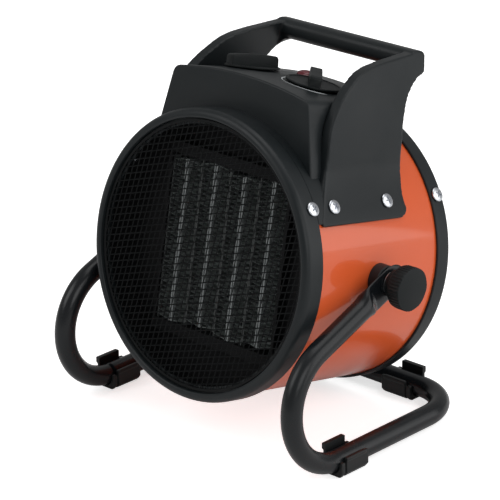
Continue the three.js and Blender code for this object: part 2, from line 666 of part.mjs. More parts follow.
/** Doubling plate inside the shell, which the stud's head bears on. */
const pivotPlate = () => hoop(bushInner - 2, bushInner, -14 * DEG, 14 * DEG, PIVOT.back - 18, PIVOT.back + 18, 4)
  .subtract(pivotBore);

/** Stud with a hexagonal head inside the drum and its thread end in the lock knob. */
function pivotStud() {
  const head = bushInner - 2 - GAP - 1.3;
  return pivotRod(head - 5, head, 7.5, 6).add(pivotRod(head - 1, LOCK.end - 4, PIVOT.stud));
}

const pivotSpacer = () => pivotRod(80, paddleInner - GAP, PIVOT.spacer, 24).subtract(pivotBore).subtract(drumCore);
const pivotWasher = () => pivotRod(paddleOuter + GAP, paddleOuter + 1.5, PIVOT.washer, 20).subtract(pivotBore);

/** Lobed clamping knob with a plain hub, a flange and a blind bore for the stud. */
function lockKnob() {
  const { hub, flange, flangeLength, radius, lobe, lobes, face, bevel, length, end } = LOCK;
  const start = end - length;
  const outline = Array.from({ length: 5 * lobes }, (_, i) => {
    const a = i * 2 * Math.PI / (5 * lobes);
    const r = radius + lobe * Math.cos(lobes * a);
    return [r * Math.cos(a), r * Math.sin(a)];
  });
  const grip = alongX(polygon(outline), start + flangeLength - 0.5, end - bevel);
  const cap = alongX(polygon(outline.map(([y, z]) => [face * y, face * z])), end - 2 * bevel, end);
  const place = moved(grip.add(cap), 0, PIVOT.back, PIVOT.rise);
  const neck = pivotRod(paddleOuter + 1.5 + GAP, start + 1, hub, 24);
  const body = join(place, neck, pivotRod(start, start + flangeLength, flange, 32));
  return body.subtract(pivotRod(90, end - 3.5, PIVOT.stud + GAP));
}

for (const [side, place] of [['right', (body) => body], ['left', mirrored]]) {
  add(drum, `pivot_plate_${side}`, place(pivotPlate()), STEEL);
  add(drum, `pivot_stud_${side}`, place(pivotStud()), STEEL);
  add(drum, `pivot_spacer_${side}`, place(pivotSpacer()), BLACK);
  add(drum, `pivot_washer_${side}`, place(pivotWasher()), STEEL);
  add(drum, `lock_knob_${side}`, place(lockKnob()), BLACK);
}

// ---------------------------------------------------------------- stand
/** A path of straight lines and arcs, each with its own number of steps. */
class StationPath extends THREE.Curve {
  constructor(legs) {
    super();
    this.legs = legs;
    this.steps = legs.reduce((sum, leg) => sum + leg.steps, 0);
  }

  getUtoTmapping(u) { return u; }

  getPoint(t, target = new THREE.Vector3()) {
    let station = Math.min(t * this.steps, this.steps);
    for (const { steps, at } of this.legs) {
      if (station <= steps) return target.copy(at(Math.max(station / steps, 0)));
      station -= steps;
    }
    return target.copy(this.legs.at(-1).at(1));
  }
}

const line = (a, b, steps = 1) => ({ steps, at: (t) => a.clone().lerp(b, t) });

/** Angle of the leg above the horizontal, tangent to the front bend and through the pivot. */
function legAngle() {
  const away = Math.hypot(pivotY - bendY, pivotZ - bendHeight);
  return Math.atan2(pivotZ - bendHeight, pivotY - bendY) - Math.asin(STAND.bend / away);
}

function standTube() {
  const { side, lean, bend, corner, tube, paddle, paddleThick, flatTo, roundFrom, sides } = STAND;
  const slope = legAngle();
  const dir = new THREE.Vector3(0, -Math.cos(slope), -Math.sin(slope));
  const pivot = new THREE.Vector3(side, pivotY, pivotZ);
  const along = (d) => pivot.clone().addScaledVector(dir, d);
  const touch = Math.PI / 2 + slope;
  const onBend = (a) => new THREE.Vector3(side, bendY + bend * Math.cos(a), bendHeight + bend * Math.sin(a));
  const onCorner = (a) => new THREE.Vector3(
    side - corner + corner * Math.cos(a), barY - corner + corner * Math.sin(a), tubeHeight);
  const half = new StationPath([
    line(along(roundFrom - 1), onBend(touch)),
    { steps: 10, at: (t) => onBend(touch + t * (1.5 * Math.PI - touch)) },
    line(onBend(1.5 * Math.PI), onCorner(0)),
    { steps: 6, at: (t) => onCorner(t * Math.PI / 2) },
    line(onCorner(Math.PI / 2), new THREE.Vector3(-1, barY, tubeHeight)),
  ]);
  const round = new THREE.ExtrudeGeometry(polygon(circle(tube, sides)), {
    steps: half.steps, extrudePath: half, bevelEnabled: false,
  });
  const neckLength = roundFrom - flatTo;
  const neck = new THREE.CylinderGeometry(1, 1, neckLength, sides, 3);
  const place = neck.attributes.position;
  for (let i = 0; i < place.count; i += 1) {
    const t = 0.5 - place.getY(i) / neckLength;
    const ease = t * t * (3 - 2 * t);
    const thick = paddleThick / 2 + (tube - paddleThick / 2) * ease;
    const wide = paddle + (tube - paddle) * ease;
    place.setXYZ(i, place.getX(i) * thick, -t * neckLength, place.getZ(i) * wide);
  }
  neck.rotateX(slope);
  neck.translate(...along(flatTo).toArray());
  const leaning = solid(round).add(solid(neck))
    .warp((p) => { p[0] -= Math.sign(p[0]) * lean * (p[2] - tubeHeight); });
  const eye = new THREE.Shape();
  eye.absarc(0, 0, paddle, -Math.PI / 2, Math.PI / 2, false);
  eye.lineTo(-flatTo - 1, paddle);
  eye.lineTo(-flatTo - 1, -paddle);
  const flat = alongX(eye, -paddleThick / 2, paddleThick / 2, 8).rotate([slope / DEG, 0, 0]);
  const right = leaning.add(moved(flat, paddleSide, pivotY, pivotZ))
    .subtract(rod([side - 12, pivotY, pivotZ], [side + 10, pivotY, pivotZ], PIVOT.bore, 16));
  return right.add(mirrored(right));
}
add(heater, 'stand_tube', standTube(), TUBE);

/** Clip-on foot: a channel under the tube with a collar, a groove and a raised tab. */
function clipFoot() {
  const { half, width, tab, tabThick, tabFrom, tabTo } = FOOT;
  const bottom = -STAND.tube - STAND.pad;
  const section = (w, top) => polygon([
    [-w, top], [-w, bottom + 3], [-w + 2.4, bottom], [w - 2.4, bottom], [w, bottom + 3], [w, top]]);
  const collar = alongY(section(width, 1), -half, -half + 4.2);
  const waist = alongY(section(width - 1.1, 0), -half + 3, -half + 9);
  const block = alongY(section(width, 2.4), -half + 7.8, half);
  const wall = box(-width, -width + tabThick, tabFrom, tabTo, -3, tab);
  const lip = box(-width - 1.3, -width + tabThick, tabFrom, tabTo, tab - 4.4, tab);
  const chamfer = box(-20, 20, -4, 4, -4, 4).rotate([45, 0, 0]);
  const channel = STAND.tube + GAP;
  return join(collar, waist, block, wall, lip)
    .subtract(rod([0, -30, 0], [0, 30, 0], channel, 20))
    .subtract(box(-channel, channel, -30, 30, 0, 30))
    .subtract(moved(chamfer, 0, half + 2.6, bottom - 1.4));
}

const foot = clipFoot();
const footY = frontY + FOOT.front;
add(heater, 'foot_front_right', moved(foot, STAND.side, footY, tubeHeight), DARK);
add(heater, 'foot_front_left', moved(foot, -STAND.side, footY, tubeHeight), DARK);
const rearFoot = moved(mirrored(foot).rotate([0, 0, 90]), FOOT.rear, barY, tubeHeight);
add(heater, 'foot_rear_right', rearFoot, DARK);
add(heater, 'foot_rear_left', mirrored(rearFoot), DARK);

export default heater;
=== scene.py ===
"""Looks of a portable forced air heater: an orange drum with a ceramic element, on a bent tube stand.

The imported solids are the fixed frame. Each class below models one sub-assembly in millimetres, in
its own frame, and sets it in the row frame: +Z up, the air leaves towards -Y, the thermostat at +X.
"""

import json
import logging
import math
from dataclasses import dataclass, field
from enum import Enum
from typing import Callable, Iterable, Sequence

import bmesh
import bpy
from mathutils import Matrix, Vector

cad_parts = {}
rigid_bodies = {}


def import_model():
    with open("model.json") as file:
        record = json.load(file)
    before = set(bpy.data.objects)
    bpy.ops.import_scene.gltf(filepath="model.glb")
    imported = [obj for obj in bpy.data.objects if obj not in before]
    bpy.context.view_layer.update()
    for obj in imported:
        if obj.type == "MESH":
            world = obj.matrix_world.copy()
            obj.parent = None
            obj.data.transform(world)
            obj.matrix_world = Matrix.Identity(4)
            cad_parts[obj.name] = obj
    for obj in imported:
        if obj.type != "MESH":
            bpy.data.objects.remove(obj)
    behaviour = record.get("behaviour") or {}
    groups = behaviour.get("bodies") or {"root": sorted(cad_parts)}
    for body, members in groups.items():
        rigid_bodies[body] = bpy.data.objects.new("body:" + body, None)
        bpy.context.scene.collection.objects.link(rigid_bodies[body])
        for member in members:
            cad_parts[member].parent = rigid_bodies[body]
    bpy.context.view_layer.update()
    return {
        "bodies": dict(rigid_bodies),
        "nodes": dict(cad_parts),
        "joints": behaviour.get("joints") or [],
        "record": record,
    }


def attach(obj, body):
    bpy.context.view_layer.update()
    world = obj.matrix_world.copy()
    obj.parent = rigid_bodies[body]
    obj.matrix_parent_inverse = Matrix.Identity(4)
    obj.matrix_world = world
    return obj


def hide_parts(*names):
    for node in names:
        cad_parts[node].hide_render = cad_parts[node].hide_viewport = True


LOG = logging.getLogger("heater")
MM = Matrix.Scale(0.001, 4)
RING_STEPS = 144
SHELL_STEPS = 192
Point2 = tuple[float, float]
Point3 = tuple[float, float, float]


class Side(Enum):
    """The two sides of the heater, as the sign of X."""

    RIGHT = 1
    LEFT = -1


class Cut(Enum):
    """Ways in which one solid changes another."""

    JOIN = "UNION"
    SUBTRACT = "DIFFERENCE"
    KEEP_COMMON = "INTERSECT"


# ---------------------------------------------------------------- workshop


def deselect() -> None:
    """Leaves edit mode and deselects everything."""
    if bpy.context.object and bpy.context.object.mode != "OBJECT":
        bpy.ops.object.mode_set(mode="OBJECT")
    bpy.ops.object.select_all(action="DESELECT")


def pick(piece: bpy.types.Object) -> None:
    """Makes one object the only selected and active one.

    Args:
        piece: The object.
    """
    deselect()
    piece.select_set(True)
    bpy.context.view_layer.objects.active = piece


def named(name: str) -> bpy.types.Object:
    """Names the object that an operator has just made, and its mesh.

    Args:
        name: The piece's name.

    Returns:
        The object.
    """
    piece = bpy.context.object
    piece.name = name
    piece.data.name = name
    return piece


def sketched(name: str, points: Sequence[Point3], faces: Sequence[Sequence[int]] = (),
             edges: Sequence[tuple[int, int]] = ()) -> bpy.types.Object:
    """A mesh object drawn point by point, as a profile or outline to work on.

    Args:
        name: The piece's name.
        points: Its points, in millimetres.
        faces: Its faces, as point numbers.
        edges: Its loose edges, as point numbers.

    Returns:
        The new object.
    """
    mesh = bpy.data.meshes.new(name)
    mesh.from_pydata(points, edges, faces)
    piece = bpy.data.objects.new(name, mesh)
    bpy.context.scene.collection.objects.link(piece)
    return piece


def in_edit_mode(piece: bpy.types.Object, work: Callable[[], None]) -> bpy.types.Object:
    """Runs operators on all of a mesh in edit mode.

    Args:
        piece: The object.
        work: The operators to run.

    Returns:
        The same object.
    """
    pick(piece)
    bpy.ops.object.mode_set(mode="EDIT")
    bpy.ops.mesh.select_all(action="SELECT")
    work()
    bpy.ops.object.mode_set(mode="OBJECT")
    return piece


def tidy(piece: bpy.types.Object) -> bpy.types.Object:
    """Merges doubled points and points the faces outwards.

    Args:
        piece: The object.

    Returns:
        The same object.
    """

    def work() -> None:
        """Merges the points, then turns the faces."""
        bpy.ops.mesh.remove_doubles(threshold=0.0005)
        bpy.ops.mesh.normals_make_consistent(inside=False)

    return in_edit_mode(piece, work)


def apply_modifier(piece: bpy.types.Object, kind: str, **settings: object) -> bpy.types.Object:
    """Adds a modifier and applies it.

    Args:
        piece: The object.
        kind: The modifier's type.
        **settings: Its settings.

    Returns:
        The same object.
    """
    pick(piece)
    modifier = piece.modifiers.new(kind.title(), kind)
    for setting, value in settings.items():
        setattr(modifier, setting, value)
    bpy.ops.object.modifier_apply(modifier=modifier.name)
    return piece


def bevelled(piece: bpy.types.Object, width: float, segments: int = 3,
             angle: float = 35.0) -> bpy.types.Object:
    """Rounds the edges that turn by more than an angle.

    Args:
        piece: The object.
        width: The rounding's width.
        segments: Faces across it.
        angle: Least turn of an edge, in degrees.

    Returns:
        The same object.
    """
    return apply_modifier(piece, "BEVEL", width=width, segments=segments, limit_method="ANGLE",
                          angle_limit=math.radians(angle), miter_outer="MITER_ARC")


def combined(piece: bpy.types.Object, tool: bpy.types.Object, cut: Cut) -> bpy.types.Object:
    """Joins, cuts or intersects a solid with another, which is used up.

    Args:
        piece: The solid to change.
        tool: The other solid.
        cut: How they combine.

    Returns:
        The changed solid.
    """
    apply_modifier(piece, "BOOLEAN", operation=cut.value, object=tool, solver="EXACT")
    bpy.data.objects.remove(tool)
    return piece


def fused(name: str, pieces: Iterable[bpy.types.Object], voxel: float, softening: int) -> bpy.types.Object:
    """Runs overlapping solids together into one moulding with softened edges.

    Args:
        name: The moulding's name.
        pieces: The solids, which are used up.
        voxel: Fineness of the moulding.
        softening: How many times its surface is relaxed.

    Returns:
        The moulding.
    """
    parts = list(pieces)
    deselect()
    for part in parts:
        part.select_set(True)
    bpy.context.view_layer.objects.active = parts[0]
    bpy.ops.object.join()
    whole = named(name)
    apply_modifier(whole, "REMESH", mode="VOXEL", voxel_size=voxel, adaptivity=0.0)
    return apply_modifier(whole, "SMOOTH", factor=0.5, iterations=softening)


def moved(piece: bpy.types.Object, matrix: Matrix) -> bpy.types.Object:
    """Moves a piece's mesh, and keeps its faces pointing out if the move mirrors it.

    Args:
        piece: The object.
        matrix: The move.

    Returns:
        The same object.
    """
    piece.data.transform(matrix)
    if matrix.determinant() < 0:
        piece.data.flip_normals()
    return piece


def copied(piece: bpy.types.Object, name: str) -> bpy.types.Object:
    """A copy of a piece with its own mesh.

    Args:
        piece: The object to copy.
        name: The copy's name.

    Returns:
        The copy.
    """
    copy = piece.copy()
    copy.data = piece.data.copy()
    copy.name = name
    copy.data.name = name
    bpy.context.scene.collection.objects.link(copy)
    return copy


def arc(centre: Point2, radii: Point2, start: float, end: float, steps: int) -> list[Point2]:
    """Points on an elliptic arc.

    Args:
        centre: Its centre.
        radii: Its two radii.
        start: First angle, in degrees.
        end: Last angle, in degrees.
        steps: Number of chords.

    Returns:
        The points, both ends among them.
    """
    angles = [math.radians(start + (end - start) * i / steps) for i in range(steps + 1)]
    return [(centre[0] + radii[0] * math.cos(a), centre[1] + radii[1] * math.sin(a)) for a in angles]


def turned(name: str, profile: Sequence[Point2], steps: int = 96) -> bpy.types.Object:
    """A body spun round the Y axis from a closed profile of (radius, y).

    Args:
        name: The piece's name.
        profile: The closed profile.
        steps: Faces round the body.

    Returns:
        The body.
    """
    count = len(profile)
    ring = [(i, (i + 1) % count) for i in range(count)]
    piece = sketched(name, [(r, y, 0.0) for r, y in profile], edges=ring)

    def work() -> None:
        """Spins the profile all the way round."""
        bpy.ops.mesh.spin(steps=steps, angle=2 * math.pi, center=(0, 0, 0), axis=(0, 1, 0))

    in_edit_mode(piece, work)
    return tidy(piece)


def extruded(name: str, outline: Sequence[Point3], along: Point3) -> bpy.types.Object:
    """A prism from a flat outline.

    Args:
        name: The piece's name.
        outline: The outline's points.
        along: How far and which way it is extruded.

    Returns:
        The prism.
    """
    piece = sketched(name, outline, faces=[range(len(outline))])

    def work() -> None:
        """Pulls the outline out to its depth."""
        bpy.ops.mesh.extrude_region_move(TRANSFORM_OT_translate={"value": along})

    in_edit_mode(piece, work)
    return tidy(piece)


def block(name: str, low: Point3, high: Point3) -> bpy.types.Object:
    """A rectangular block between two corners.

    Args:
        name: The piece's name.
        low: Lowest corner.
        high: Highest corner.

    Returns:
        The block.
    """
    deselect()
    centre = [(a + b) / 2 for a, b in zip(low, high)]
    bpy.ops.mesh.primitive_cube_add(size=1, location=(0, 0, 0))
    piece = named(name)
    size = [b - a for a, b in zip(low, high)]
    piece.data.transform(Matrix.Translation(centre) @ Matrix.Diagonal((*size, 1)))
    return piece


def bar(name: str, start: Point3, end: Point3, radius: float, sides: int = 48) -> bpy.types.Object:
    """A round bar between two points.

    Args:
        name: The piece's name.
        start: One end.
        end: The other end.
        radius: Its radius.
        sides: Faces round it.

    Returns:
        The bar.
    """
    deselect()
    a, b = Vector(start), Vector(end)
    bpy.ops.mesh.primitive_cylinder_add(radius=radius, depth=(b - a).length, vertices=sides)
    piece = named(name)
    turn = (b - a).to_track_quat("Z", "Y").to_matrix().to_4x4()
    piece.data.transform(Matrix.Translation((a + b) / 2) @ turn)
    return piece


def quadratic(a: Point2, b: Point2, c: Point2, steps: int = 8) -> list[Point2]:
    """Points on a curve from a to c that is pulled towards b, without a itself.

    Args:
        a: Start.
        b: The point that pulls.
        c: End.
        steps: Number of chords.

    Returns:
        The points after a.
    """
    found = []
    for i in range(1, steps + 1):
        t = i / steps
        found.append(tuple((1 - t) ** 2 * p + 2 * t * (1 - t) * q + t * t * r for p, q, r in zip(a, b, c)))
    return found


def through(points: Sequence[Point2], steps: int = 8) -> list[Point2]:
    """A smooth curve through points, without the first one.

    Args:
        points: The points that it passes.
        steps: Chords between two of them.

    Returns:
        The curve's points.
    """
    found = []
    last = len(points) - 1
    for i in range(last):
        p0, p1, p2, p3 = (points[min(max(k, 0), last)] for k in (i - 1, i, i + 1, i + 2))
        for k in range(1, steps + 1):
            t = k / steps
            found.append(tuple(
                0.5 * (2 * b + (c - a) * t + (2 * a - 5 * b + 4 * c - d) * t * t
                       + (3 * b - a - 3 * c + d) * t ** 3)
                for a, b, c, d in zip(p0, p1, p2, p3)))
    return found


def rounded_rectangle(low: Point2, high: Point2, radius: float, steps: int = 8) -> list[Point2]:
    """Outline of a rectangle with rounded corners.

    Args:
        low: Lowest corner.
        high: Highest corner.
        radius: The corners' radius.
        steps: Chords in a corner.

    Returns:
        The outline, anticlockwise.
    """
    corners = [(high[0] - radius, low[1] + radius, -90), (high[0] - radius, high[1] - radius, 0),
               (low[0] + radius, high[1] - radius, 90), (low[0] + radius, low[1] + radius, 180)]
    return [p for x, y, a in corners for p in arc((x, y), (radius, radius), a, a + 90, steps)]


def finished(piece: bpy.types.Object, matrix: Matrix, material: bpy.types.Material, body: str,
             nodes: Sequence[str] = (), angle: float = 32.0) -> bpy.types.Object:
    """Sets a piece in the row frame, shades it, dresses it and hands it to its body.

    Args:
        piece: The object, in millimetres in its own frame.
        matrix: Its place in the row frame, the change to metres included.
        material: Its material.
        body: The body that carries it.
        nodes: The solids that it stands for.
        angle: Edges that turn by more than this stay sharp, in degrees.

    Returns:
        The same object.
    """
    tidy(piece)
    moved(piece, matrix)
    pick(piece)
    bpy.ops.object.shade_smooth_by_angle(angle=math.radians(angle))
    piece.data.materials.clear()
    piece.data.materials.append(material)
    if nodes:
        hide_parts(*nodes)
    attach(piece, body)
    LOG.info("%s: %d faces on %s", piece.name, len(piece.data.polygons), body)
    return piece


def second_coat(piece: bpy.types.Object, material: bpy.types.Material, place: Matrix,
                wanted: Callable[[Vector], bool]) -> None:
    """Gives some faces of a finished piece a second material.

    Args:
        piece: The finished piece.
        material: The second material.
        place: Where the piece was set.
        wanted: Says of a face's middle, in the piece's own frame, whether it gets the material.
    """
    piece.data.materials.append(material)
    home = place.inverted()
    for face in piece.data.polygons:
        face.material_index = int(wanted(home @ face.center))


# ---------------------------------------------------------------- shared effects


class NodeSheet:
    """Short ways to add and link nodes on one node tree."""

    def __init__(self, tree: bpy.types.NodeTree) -> None:
        """Args:
            tree: The node tree to work on.
        """
        self.tree = tree

    def add(self, kind: str, **settings: object) -> bpy.types.Node:
        """Adds a node.

        Args:
            kind: Its type.
            **settings: Its properties.

        Returns:
            The node.
        """
        node = self.tree.nodes.new(kind)
        for setting, value in settings.items():
            setattr(node, setting, value)
        return node

    def link(self, source: bpy.types.NodeSocket, target: bpy.types.NodeSocket) -> None:
        """Links an output to an input."""
        self.tree.links.new(source, target)

    def noise(self, vector: bpy.types.NodeSocket, scale: float | bpy.types.NodeSocket,
              detail: float) -> bpy.types.NodeSocket:
        """A noise value over a vector.

        Args:
            vector: Where it is read.
            scale: Its fineness, as a number or a socket.
            detail: Its octaves.

        Returns:
            The noise's factor.
        """
        node = self.add("ShaderNodeTexNoise")
        self.link(vector, node.inputs["Vector"])
        node.inputs["Detail"].default_value = detail
        if isinstance(scale, bpy.types.NodeSocket):
            self.link(scale, node.inputs["Scale"])
        else:
            node.inputs["Scale"].default_value = scale
        return node.outputs["Fac"]

    def ranged(self, value: bpy.types.NodeSocket, low: float, high: float,
               to_low: float, to_high: float) -> bpy.types.NodeSocket:
        """Maps a value from one range to another, and clamps it.

        Args:
            value: The value.
            low: Start of its range.
            high: End of its range.
            to_low: Result at the start.
            to_high: Result at the end.

        Returns:
            The mapped value.
        """
        node = self.add("ShaderNodeMapRange")
        self.link(value, node.inputs["Value"])
        for name, number in (("From Min", low), ("From Max", high), ("To Min", to_low), ("To Max", to_high)):
            node.inputs[name].default_value = number
        return node.outputs["Result"]


def effect_group(name: str, inputs: dict[str, float], outputs: Sequence[str],
                 build: Callable[[NodeSheet, bpy.types.Node, bpy.types.Node], None]) -> bpy.types.NodeTree:
    """A node group that puts out values only.

    Args:
        name: The group's name.
        inputs: Its number inputs with their defaults.
        outputs: Its number outputs.
        build: Adds what is inside, given the sheet, the group's input node and its output node.

    Returns:
        The group.
    """
    tree = bpy.data.node_groups.new(name, "ShaderNodeTree")
    tree.interface.new_socket("Vector", in_out="INPUT", socket_type="NodeSocketVector")
    for label, value in inputs.items():
        tree.interface.new_socket(label, in_out="INPUT", socket_type="NodeSocketFloat").default_value = value
    for label in outputs:
        tree.interface.new_socket(label, in_out="OUTPUT", socket_type="NodeSocketFloat")
    sheet = NodeSheet(tree)
    build(sheet, sheet.add("NodeGroupInput"), sheet.add("NodeGroupOutput"))
    return tree


class Effects:
    """Surface effects that several finishes share."""

    def __init__(self) -> None:
        """Builds each group once."""
        self.moulded_grain = effect_group(
            "moulded_grain", {"Grain": 900.0, "Mottle": 22.0}, ("Height", "Mask"), self._moulded_grain)
        self.handling = effect_group("handling", {"Scale": 30.0}, ("Smudge",), self._handling)
        self.drawn_lines = effect_group(
            "drawn_lines", {"Fineness": 1400.0}, ("Height", "Mask"), self._drawn_lines)
        self.settled_dust = effect_group("settled_dust", {"Amount": 0.2}, ("Mask",), self._settled_dust)

    @staticmethod
    def _moulded_grain(sheet: NodeSheet, given: bpy.types.Node, out: bpy.types.Node) -> None:
        """Fine spark-eroded grain, and a broad change of tone.

        Args:
            sheet: The group's sheet.
            given: Its input node.
            out: Its output node.
        """
        fine = sheet.noise(given.outputs["Vector"], given.outputs["Grain"], 3.0)
        sheet.link(fine, out.inputs["Height"])
        broad = sheet.noise(given.outputs["Vector"], given.outputs["Mottle"], 4.0)
        sheet.link(sheet.ranged(broad, 0.35, 0.65, 0.0, 1.0), out.inputs["Mask"])

    @staticmethod
    def _handling(sheet: NodeSheet, given: bpy.types.Node, out: bpy.types.Node) -> None:
        """Faint smudges from hands and cloths.

        Args:
            sheet: The group's sheet.
            given: Its input node.
            out: Its output node.
        """
        blotch = sheet.noise(given.outputs["Vector"], given.outputs["Scale"], 6.0)
        sheet.link(sheet.ranged(blotch, 0.42, 0.7, 0.0, 1.0), out.inputs["Smudge"])

    @staticmethod
    def _drawn_lines(sheet: NodeSheet, given: bpy.types.Node, out: bpy.types.Node) -> None:
        """Lines left by rolling or drawing, along X.

        Args:
            sheet: The group's sheet.
            given: Its input node.
            out: Its output node.
        """
        stretch = sheet.add("ShaderNodeMapping")
        stretch.inputs["Scale"].default_value = (0.03, 1.0, 1.0)
        sheet.link(given.outputs["Vector"], stretch.inputs["Vector"])
        lines = sheet.noise(stretch.outputs["Vector"], given.outputs["Fineness"], 2.0)
        sheet.link(lines, out.inputs["Height"])
        sheet.link(sheet.ranged(lines, 0.3, 0.7, 0.0, 1.0), out.inputs["Mask"])

    @staticmethod
    def _settled_dust(sheet: NodeSheet, given: bpy.types.Node, out: bpy.types.Node) -> None:
        """A trace of dust on faces that look up.

        Args:
            sheet: The group's sheet.
            given: Its input node.
            out: Its output node.
        """
        geometry = sheet.add("ShaderNodeNewGeometry")
        split = sheet.add("ShaderNodeSeparateXYZ")
        sheet.link(geometry.outputs["Normal"], split.inputs["Vector"])
        upward = sheet.ranged(split.outputs["Z"], 0.55, 1.0, 0.0, 1.0)
        speck = sheet.ranged(sheet.noise(given.outputs["Vector"], 260.0, 5.0), 0.45, 0.75, 0.0, 1.0)
        both = sheet.add("ShaderNodeMath", operation="MULTIPLY")
        sheet.link(upward, both.inputs[0])
        sheet.link(speck, both.inputs[1])
        scaled = sheet.add("ShaderNodeMath", operation="MULTIPLY")
        sheet.link(both.outputs["Value"], scaled.inputs[0])
        sheet.link(given.outputs["Amount"], scaled.inputs[1])
        sheet.link(scaled.outputs["Value"], out.inputs["Mask"])


# ---------------------------------------------------------------- finishes


@dataclass(frozen=True)
class Finish:
    """A surface finish: two tones, two roughnesses, a relief and what lies on it."""

    name: str
    colour: Point3
    second: Point3
    roughness: Point2 = (0.42, 0.55)
    metallic: float = 0.0
    specular: float = 0.5
    grain: float = 900.0
    mottle: float = 22.0
    relief: float = 0.02
    dust: float = 0.0
    coat: float = 0.0
    coat_roughness: float = 0.05
    lines: bool = False

    def make(self, effects: Effects) -> bpy.types.Material:
        """Builds the material.

        Args:
            effects: The shared effect groups.

        Returns:
            The material.
        """
        material = bpy.data.materials.new(self.name)
        material.use_nodes = True
        sheet = NodeSheet(material.node_tree)
        shader = material.node_tree.nodes["Principled BSDF"]
        where = sheet.add("ShaderNodeTexCoord").outputs["Object"]
        surface = self._group(sheet, effects.drawn_lines if self.lines else effects.moulded_grain, where)
        surface.inputs[1].default_value = self.grain
        if not self.lines:
            surface.inputs["Mottle"].default_value = self.mottle
        smudge = self._group(sheet, effects.handling, where).outputs["Smudge"]
        tone = self._mix(sheet, surface.outputs["Mask"], self.colour, self.second)
        if self.dust:
            dust = self._group(sheet, effects.settled_dust, where)
            dust.inputs["Amount"].default_value = self.dust
            tone = self._mix(sheet, dust.outputs["Mask"], tone, (0.35, 0.34, 0.32))
        sheet.link(tone, shader.inputs["Base Color"])
        sheet.link(sheet.ranged(smudge, 0.0, 1.0, *self.roughness), shader.inputs["Roughness"])
        bump = sheet.add("ShaderNodeBump")
        bump.inputs["Strength"].default_value = 1.0
        bump.inputs["Distance"].default_value = self.relief / 1000
        sheet.link(surface.outputs["Height"], bump.inputs["Height"])
        sheet.link(bump.outputs["Normal"], shader.inputs["Normal"])
        shader.inputs["Metallic"].default_value = self.metallic
        shader.inputs["Specular IOR Level"].default_value = self.specular
        shader.inputs["Coat Weight"].default_value = self.coat
        shader.inputs["Coat Roughness"].default_value = self.coat_roughness
        material.diffuse_color = (*self.colour, 1)
        return material

    @staticmethod
    def _group(sheet: NodeSheet, tree: bpy.types.NodeTree, where: bpy.types.NodeSocket) -> bpy.types.Node:
        """Places an effect group and gives it its coordinates.

        Args:
            sheet: The material's sheet.
            tree: The group.
            where: The coordinates.

        Returns:
            The group's node.
        """
        node = sheet.add("ShaderNodeGroup", node_tree=tree)
        sheet.link(where, node.inputs["Vector"])
        return node

    @staticmethod
    def _mix(sheet: NodeSheet, mask: bpy.types.NodeSocket, first: Point3 | bpy.types.NodeSocket,
             second: Point3) -> bpy.types.NodeSocket:
        """Mixes two colours by a mask.

        Args:
            sheet: The material's sheet.
            mask: The share of the second colour.
            first: A colour or a colour socket.
            second: The other colour.

        Returns:
            The mixed colour.
        """
        node = sheet.add("ShaderNodeMix", data_type="RGBA")
        sheet.link(mask, node.inputs["Factor"])
        if isinstance(first, bpy.types.NodeSocket):
            sheet.link(first, node.inputs["A"])
        else:
            node.inputs["A"].default_value = (*first, 1)
        node.inputs["B"].default_value = (*second, 1)
        return node.outputs["Result"]


FINISHES: dict[str, Finish] = {finish.name: finish for finish in (
    Finish("orange_enamel", (0.61, 0.094, 0.024), (0.58, 0.088, 0.022), roughness=(0.28, 0.36),
           specular=0.2, grain=420.0, mottle=14.0, relief=0.003, coat=0.6, coat_roughness=0.05),
    Finish("black_plastic", (0.0075, 0.01, 0.0112), (0.0095, 0.012, 0.0132), roughness=(0.36, 0.48),
           specular=0.24, relief=0.03, dust=0.015),
    Finish("knob_black", (0.005, 0.0068, 0.0072), (0.0065, 0.0082, 0.0088), roughness=(0.4, 0.52),
           specular=0.16, relief=0.02, dust=0.015),
    Finish("dark_plastic", (0.012, 0.012, 0.013), (0.016, 0.016, 0.017), roughness=(0.5, 0.62),
           specular=0.3, relief=0.03),
    Finish("foot_plastic", (0.005, 0.006, 0.0065), (0.007, 0.008, 0.0085), roughness=(0.44, 0.58),
           specular=0.3, relief=0.03, dust=0.015),
    Finish("white_plastic", (0.6, 0.58, 0.52), (0.54, 0.52, 0.46), roughness=(0.4, 0.5), relief=0.02),
    Finish("red_lens", (0.11, 0.008, 0.015), (0.085, 0.006, 0.012), roughness=(0.14, 0.22),
           specular=0.3, grain=60.0, relief=0.01, coat=0.4),
    Finish("grille_black", (0.0032, 0.0038, 0.0042), (0.0045, 0.0052, 0.0056), roughness=(0.46, 0.58),
           specular=0.12, grain=1500.0, relief=0.02),
    Finish("black_powder_coat", (0.0045, 0.0058, 0.007), (0.006, 0.0072, 0.0085),
           roughness=(0.24, 0.32), specular=0.3, grain=1300.0, relief=0.02, dust=0.01),
    Finish("zinc_screw", (0.62, 0.64, 0.67), (0.54, 0.56, 0.6), roughness=(0.22, 0.34), metallic=1.0,
           grain=800.0, relief=0.01),
    Finish("plated_steel", (0.5, 0.51, 0.52), (0.42, 0.43, 0.45), roughness=(0.3, 0.42), metallic=1.0,
           lines=True, grain=1800.0, relief=0.01),
    Finish("galvanised_sheet", (0.085, 0.087, 0.09), (0.06, 0.062, 0.065), roughness=(0.45, 0.6),
           metallic=1.0, grain=90.0, mottle=120.0, relief=0.01),
    Finish("cast_bracket", (0.44, 0.44, 0.45), (0.38, 0.38, 0.39), roughness=(0.45, 0.58), metallic=1.0,
           grain=700.0, relief=0.05),
    Finish("element_aluminium", (0.27, 0.3, 0.295), (0.16, 0.18, 0.175), roughness=(0.45, 0.6),
           metallic=0.4, grain=900.0, mottle=180.0, relief=0.02),
    Finish("coil_tape", (0.42, 0.16, 0.035), (0.34, 0.12, 0.025), roughness=(0.3, 0.42), lines=True,
           grain=300.0, relief=0.06),
)}
